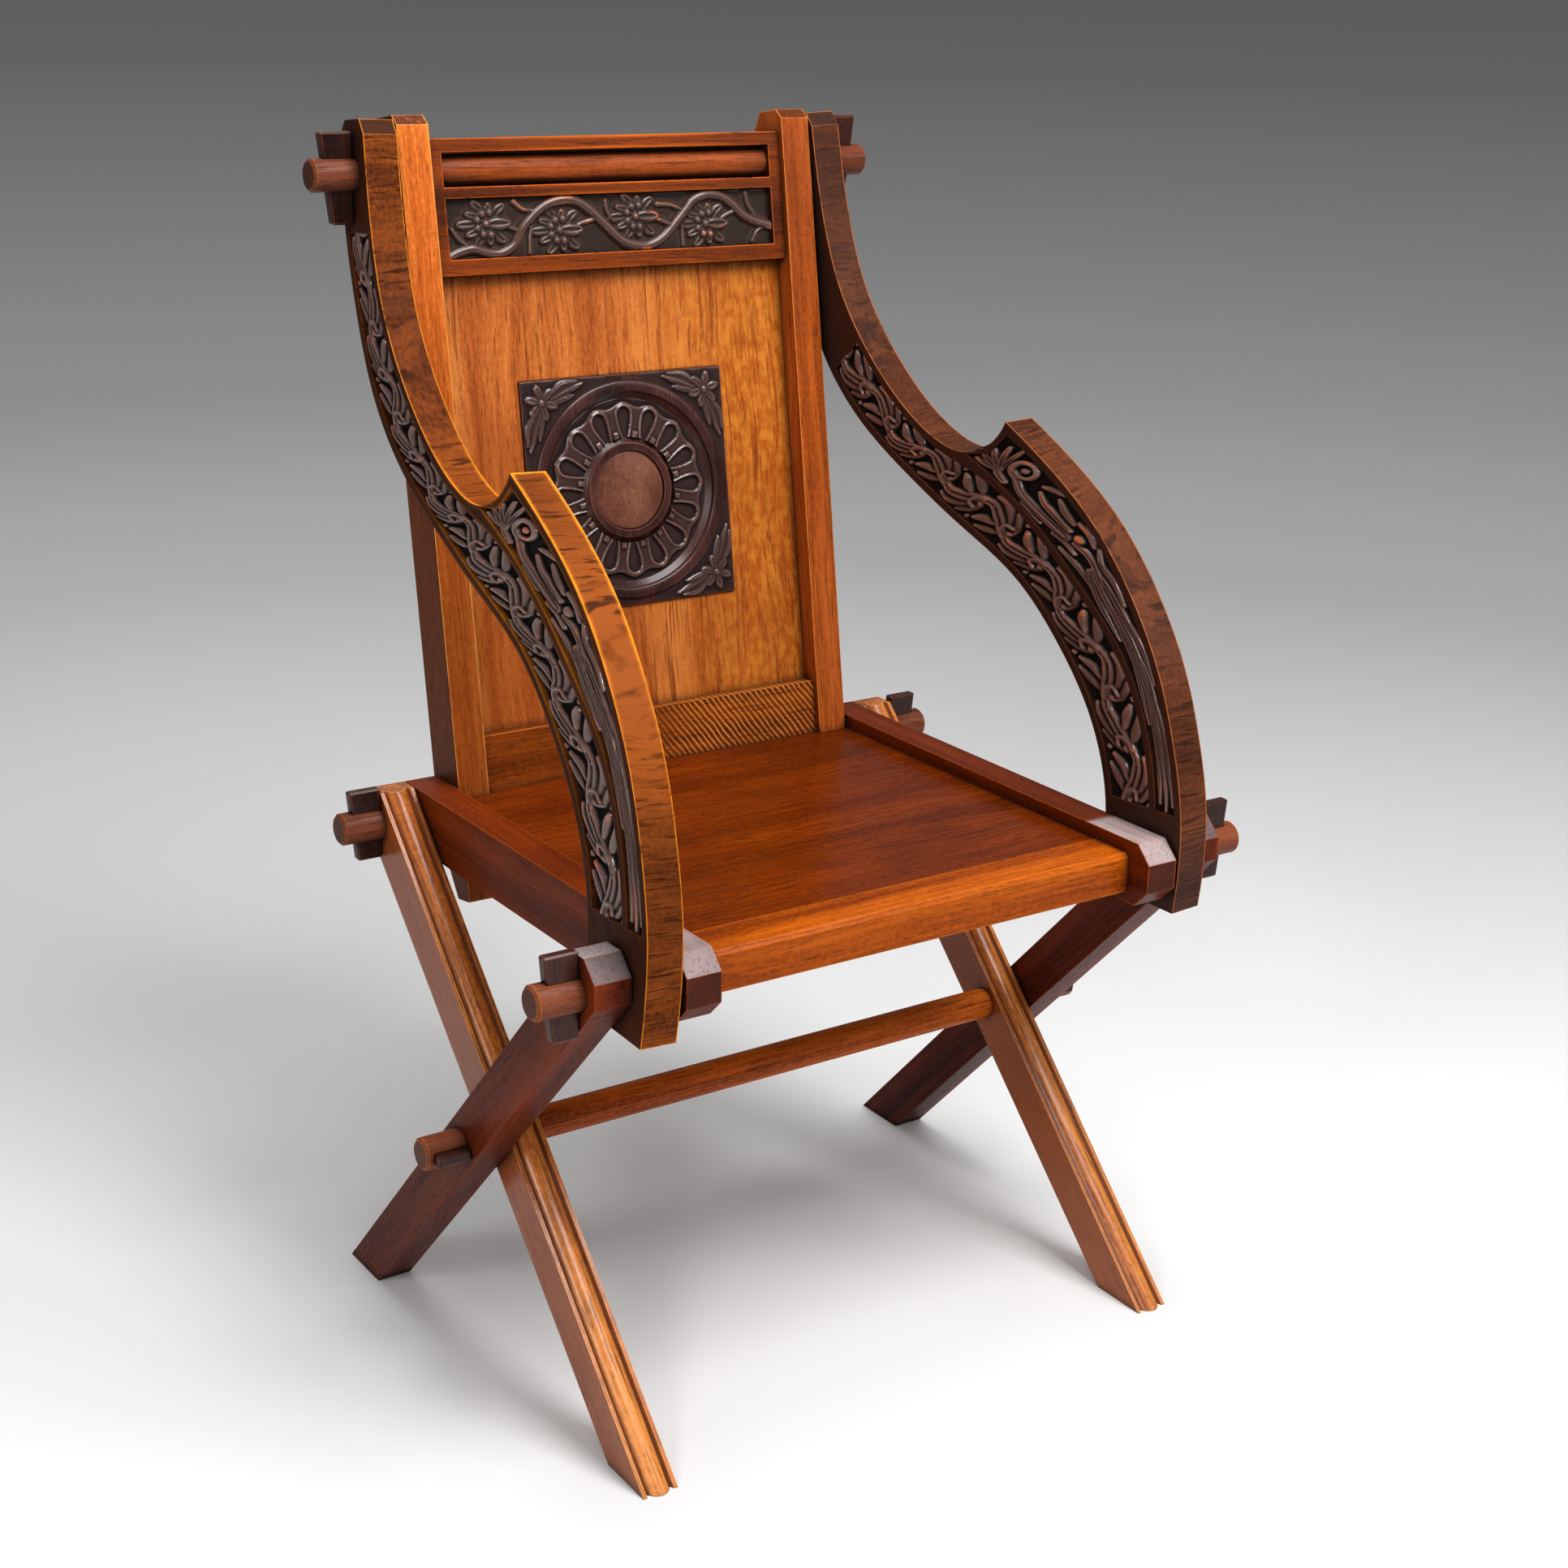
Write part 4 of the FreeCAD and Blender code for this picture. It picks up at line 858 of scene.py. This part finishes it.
for step in range(13):
    angle = math.radians(-100 + 33 * step)
    coil = 11.0 - 0.3 * step
    volute.append((290 + coil * math.cos(angle), 5 + coil * math.sin(angle)))
feathers.append((volute, (4.4, 3.2, 2.6), 4.2, 1))
feathers.append(([(290, 5)], (4.4,), 4.2, 1))
for tip_x, tip_y, half in ((322, -17, 4.0), (327, -8, 4.2), (325, 2, 4.0), (318, 12, 4.2), (309, 18, 3.6)):
    feathers.append(([(300, -12), ((300 + tip_x) / 2 + 1, (tip_y - 12) / 2 - 1), (tip_x, tip_y)],
                     (2.6, half, 2.0), 3.6, 2))
feathers.append(([(288, -17), (298, -15), (306, -11)], (3.4, 4.2, 3.0), 3.8, 2))
feathers.append(([(270, 8), (264, 13), (256, 18)], (2.2, 3.6, 1.8), 3.0, 1))

carve_channels("spray", short_length, feathers, outer=(short_lines, 1), inner=(short_lines, 1), sway=5.0)
for curve in (*scroll_lines["outer"], *scroll_lines["inner"], *short_lines):
    bpy.data.objects.remove(curve)


# Round cross members, which tie the sides together, and the wedge keys driven through their ends. All
# are oak; the rods have the stain of the frame, and the keys are nearly black and shine.
def dark_tips(finish, color):
    """Darker from a little way out from the middle, a painted shade where the top rod goes into the ends of
    its window in the top rail, and darker again on the ends outside the sides.
    """
    from_middle_plane = finish.size_of(finish.seat, "X")
    # Painted shade where the top rod goes into the ends of its window; the rear rod takes it too.
    color = finish.blended(from_middle_plane.above(0.1, 0.15) * 0.35, color, tone("542e1c"))
    return finish.blended(from_middle_plane.above(0.193, 0.2) * 0.5, color, tone("54372e"))


dress(oak("rod_oak", across, "451a09 7d3715 98481a af5624", rough=0.36, rays=dark_tips),
      "top_rod", "rear_rod")
dress(oak("key_oak", (0, 0, 0), "160805 2e1610 3f1f18 7f422c", pits=0.2, rough=0.3, polish=0.3),
      *(f"{place}_key_{side}" for place in ("top", "front", "rear", "cross") for side in ("left", "right")))


# Camera, where the photograph was taken from, and plain light from large soft lamps, at a level at
# which a colour renders about as it is written.
photo_side = 1932
focal_pixels = 2967.05
camera_data = bpy.data.cameras.new("camera")
camera_data.sensor_width = 36.0
camera_data.lens = camera_data.sensor_width * focal_pixels / photo_side
camera_data.clip_start = 0.05
camera_data.clip_end = 300.0
camera = in_scene("camera", camera_data)
yaw = 0.603389
pitch = 0.329021
roll = 0.023894
ahead = Vector((math.sin(yaw) * math.cos(pitch), math.cos(yaw) * math.cos(pitch), -math.sin(pitch)))
level = Vector((math.cos(yaw), -math.sin(yaw), 0))
overhead = level.cross(ahead)
right = level * math.cos(roll) + overhead * math.sin(roll)
upward = overhead * math.cos(roll) - level * math.sin(roll)
stance = Matrix((right, upward, -ahead)).transposed().to_4x4()
stance.translation = Vector((-0.978481, -1.465852, 1.011952))
camera.matrix_world = stance
bpy.context.scene.camera = camera


def lamp(name, place, target, side, power):
    """A square soft lamp that looks at a target. Its side is in metres and its power in watts."""
    data = bpy.data.lights.new(name, "AREA")
    data.shape = "SQUARE"
    data.size = side
    data.energy = power
    light = in_scene(name, data)
    light.location = place
    light.rotation_euler = (Vector(target) - Vector(place)).to_track_quat("-Z", "Y").to_euler()


lamp("key_lamp", (0.45, -1.2, 2.4), (0, 0, 0.45), 1.2, 66)
lamp("right_lamp", (1.6, -1.7, 1.7), (0, 0, 0.5), 0.9, 8)
lamp("front_lamp", (-1.3, -2.2, 1.6), (0, 0, 0.5), 1.2, 15)
lamp("top_lamp", (0.0, 0.1, 2.6), (0, 0, 0.4), 1.0, 21)
lamp("left_lamp", (-2.0, -1.1, 1.9), (0, 0, 0.5), 0.6, 18)
lamp("back_lamp", (0.3, 2.4, 2.3), (0, 0, 0.5), 1.2, 12)

world = bpy.data.worlds.new("studio")
world.use_nodes = True
world.node_tree.nodes["Background"].inputs["Color"].default_value = (1, 1, 1, 1)
world.node_tree.nodes["Background"].inputs["Strength"].default_value = 0.2
bpy.context.scene.world = world


# Floor: one wide sheet of pale paper under the chair. Its grey is painted light and shade: lower near the
# chair, where the lamps are strong, paler a few metres out, and darker far away, where a studio's light
# falls off. The ramp runs over the logarithm of the distance, so it has steps both near the feet and far
# away.
far = 400.0
floor_mesh = bpy.data.meshes.new("floor")
floor_mesh.from_pydata([(-far, -far, 0), (far, -far, 0), (far, far, 0), (-far, far, 0)], [], [(0, 1, 2, 3)])
floor = in_scene("floor", floor_mesh)
paper = Finish("floor_paper")
distance = paper.vector("LENGTH", paper.seat, output="Value")
fall = paper.node("ShaderNodeMath", {"operation": "LOGARITHM"}, {0: distance + 0.4, 1: 10.0})
# Painted light and shade on the paper, set by the distance from the chair.
greys = ((0, 0.74), (0.16, 0.7), (0.24, 0.64), (0.34, 0.62), (0.41, 0.84), (0.47, 0.94), (0.53, 0.88),
         (0.6, 0.76), (0.7, 0.6), (0.87, 0.52))
stops = [(place, (grey, grey, grey, 1)) for place, grey in greys]
shade_of_floor = paper.node("ShaderNodeValToRGB", {"stops": stops}, {0: fall * 0.4 + 0.16})
paper.feed("Base Color", shade_of_floor)
paper.feed("Roughness", 0.9)
paper.feed("Specular IOR Level", 0.1)
floor_mesh.materials.append(paper.material)

bpy.context.scene.view_settings.view_transform = "Standard"
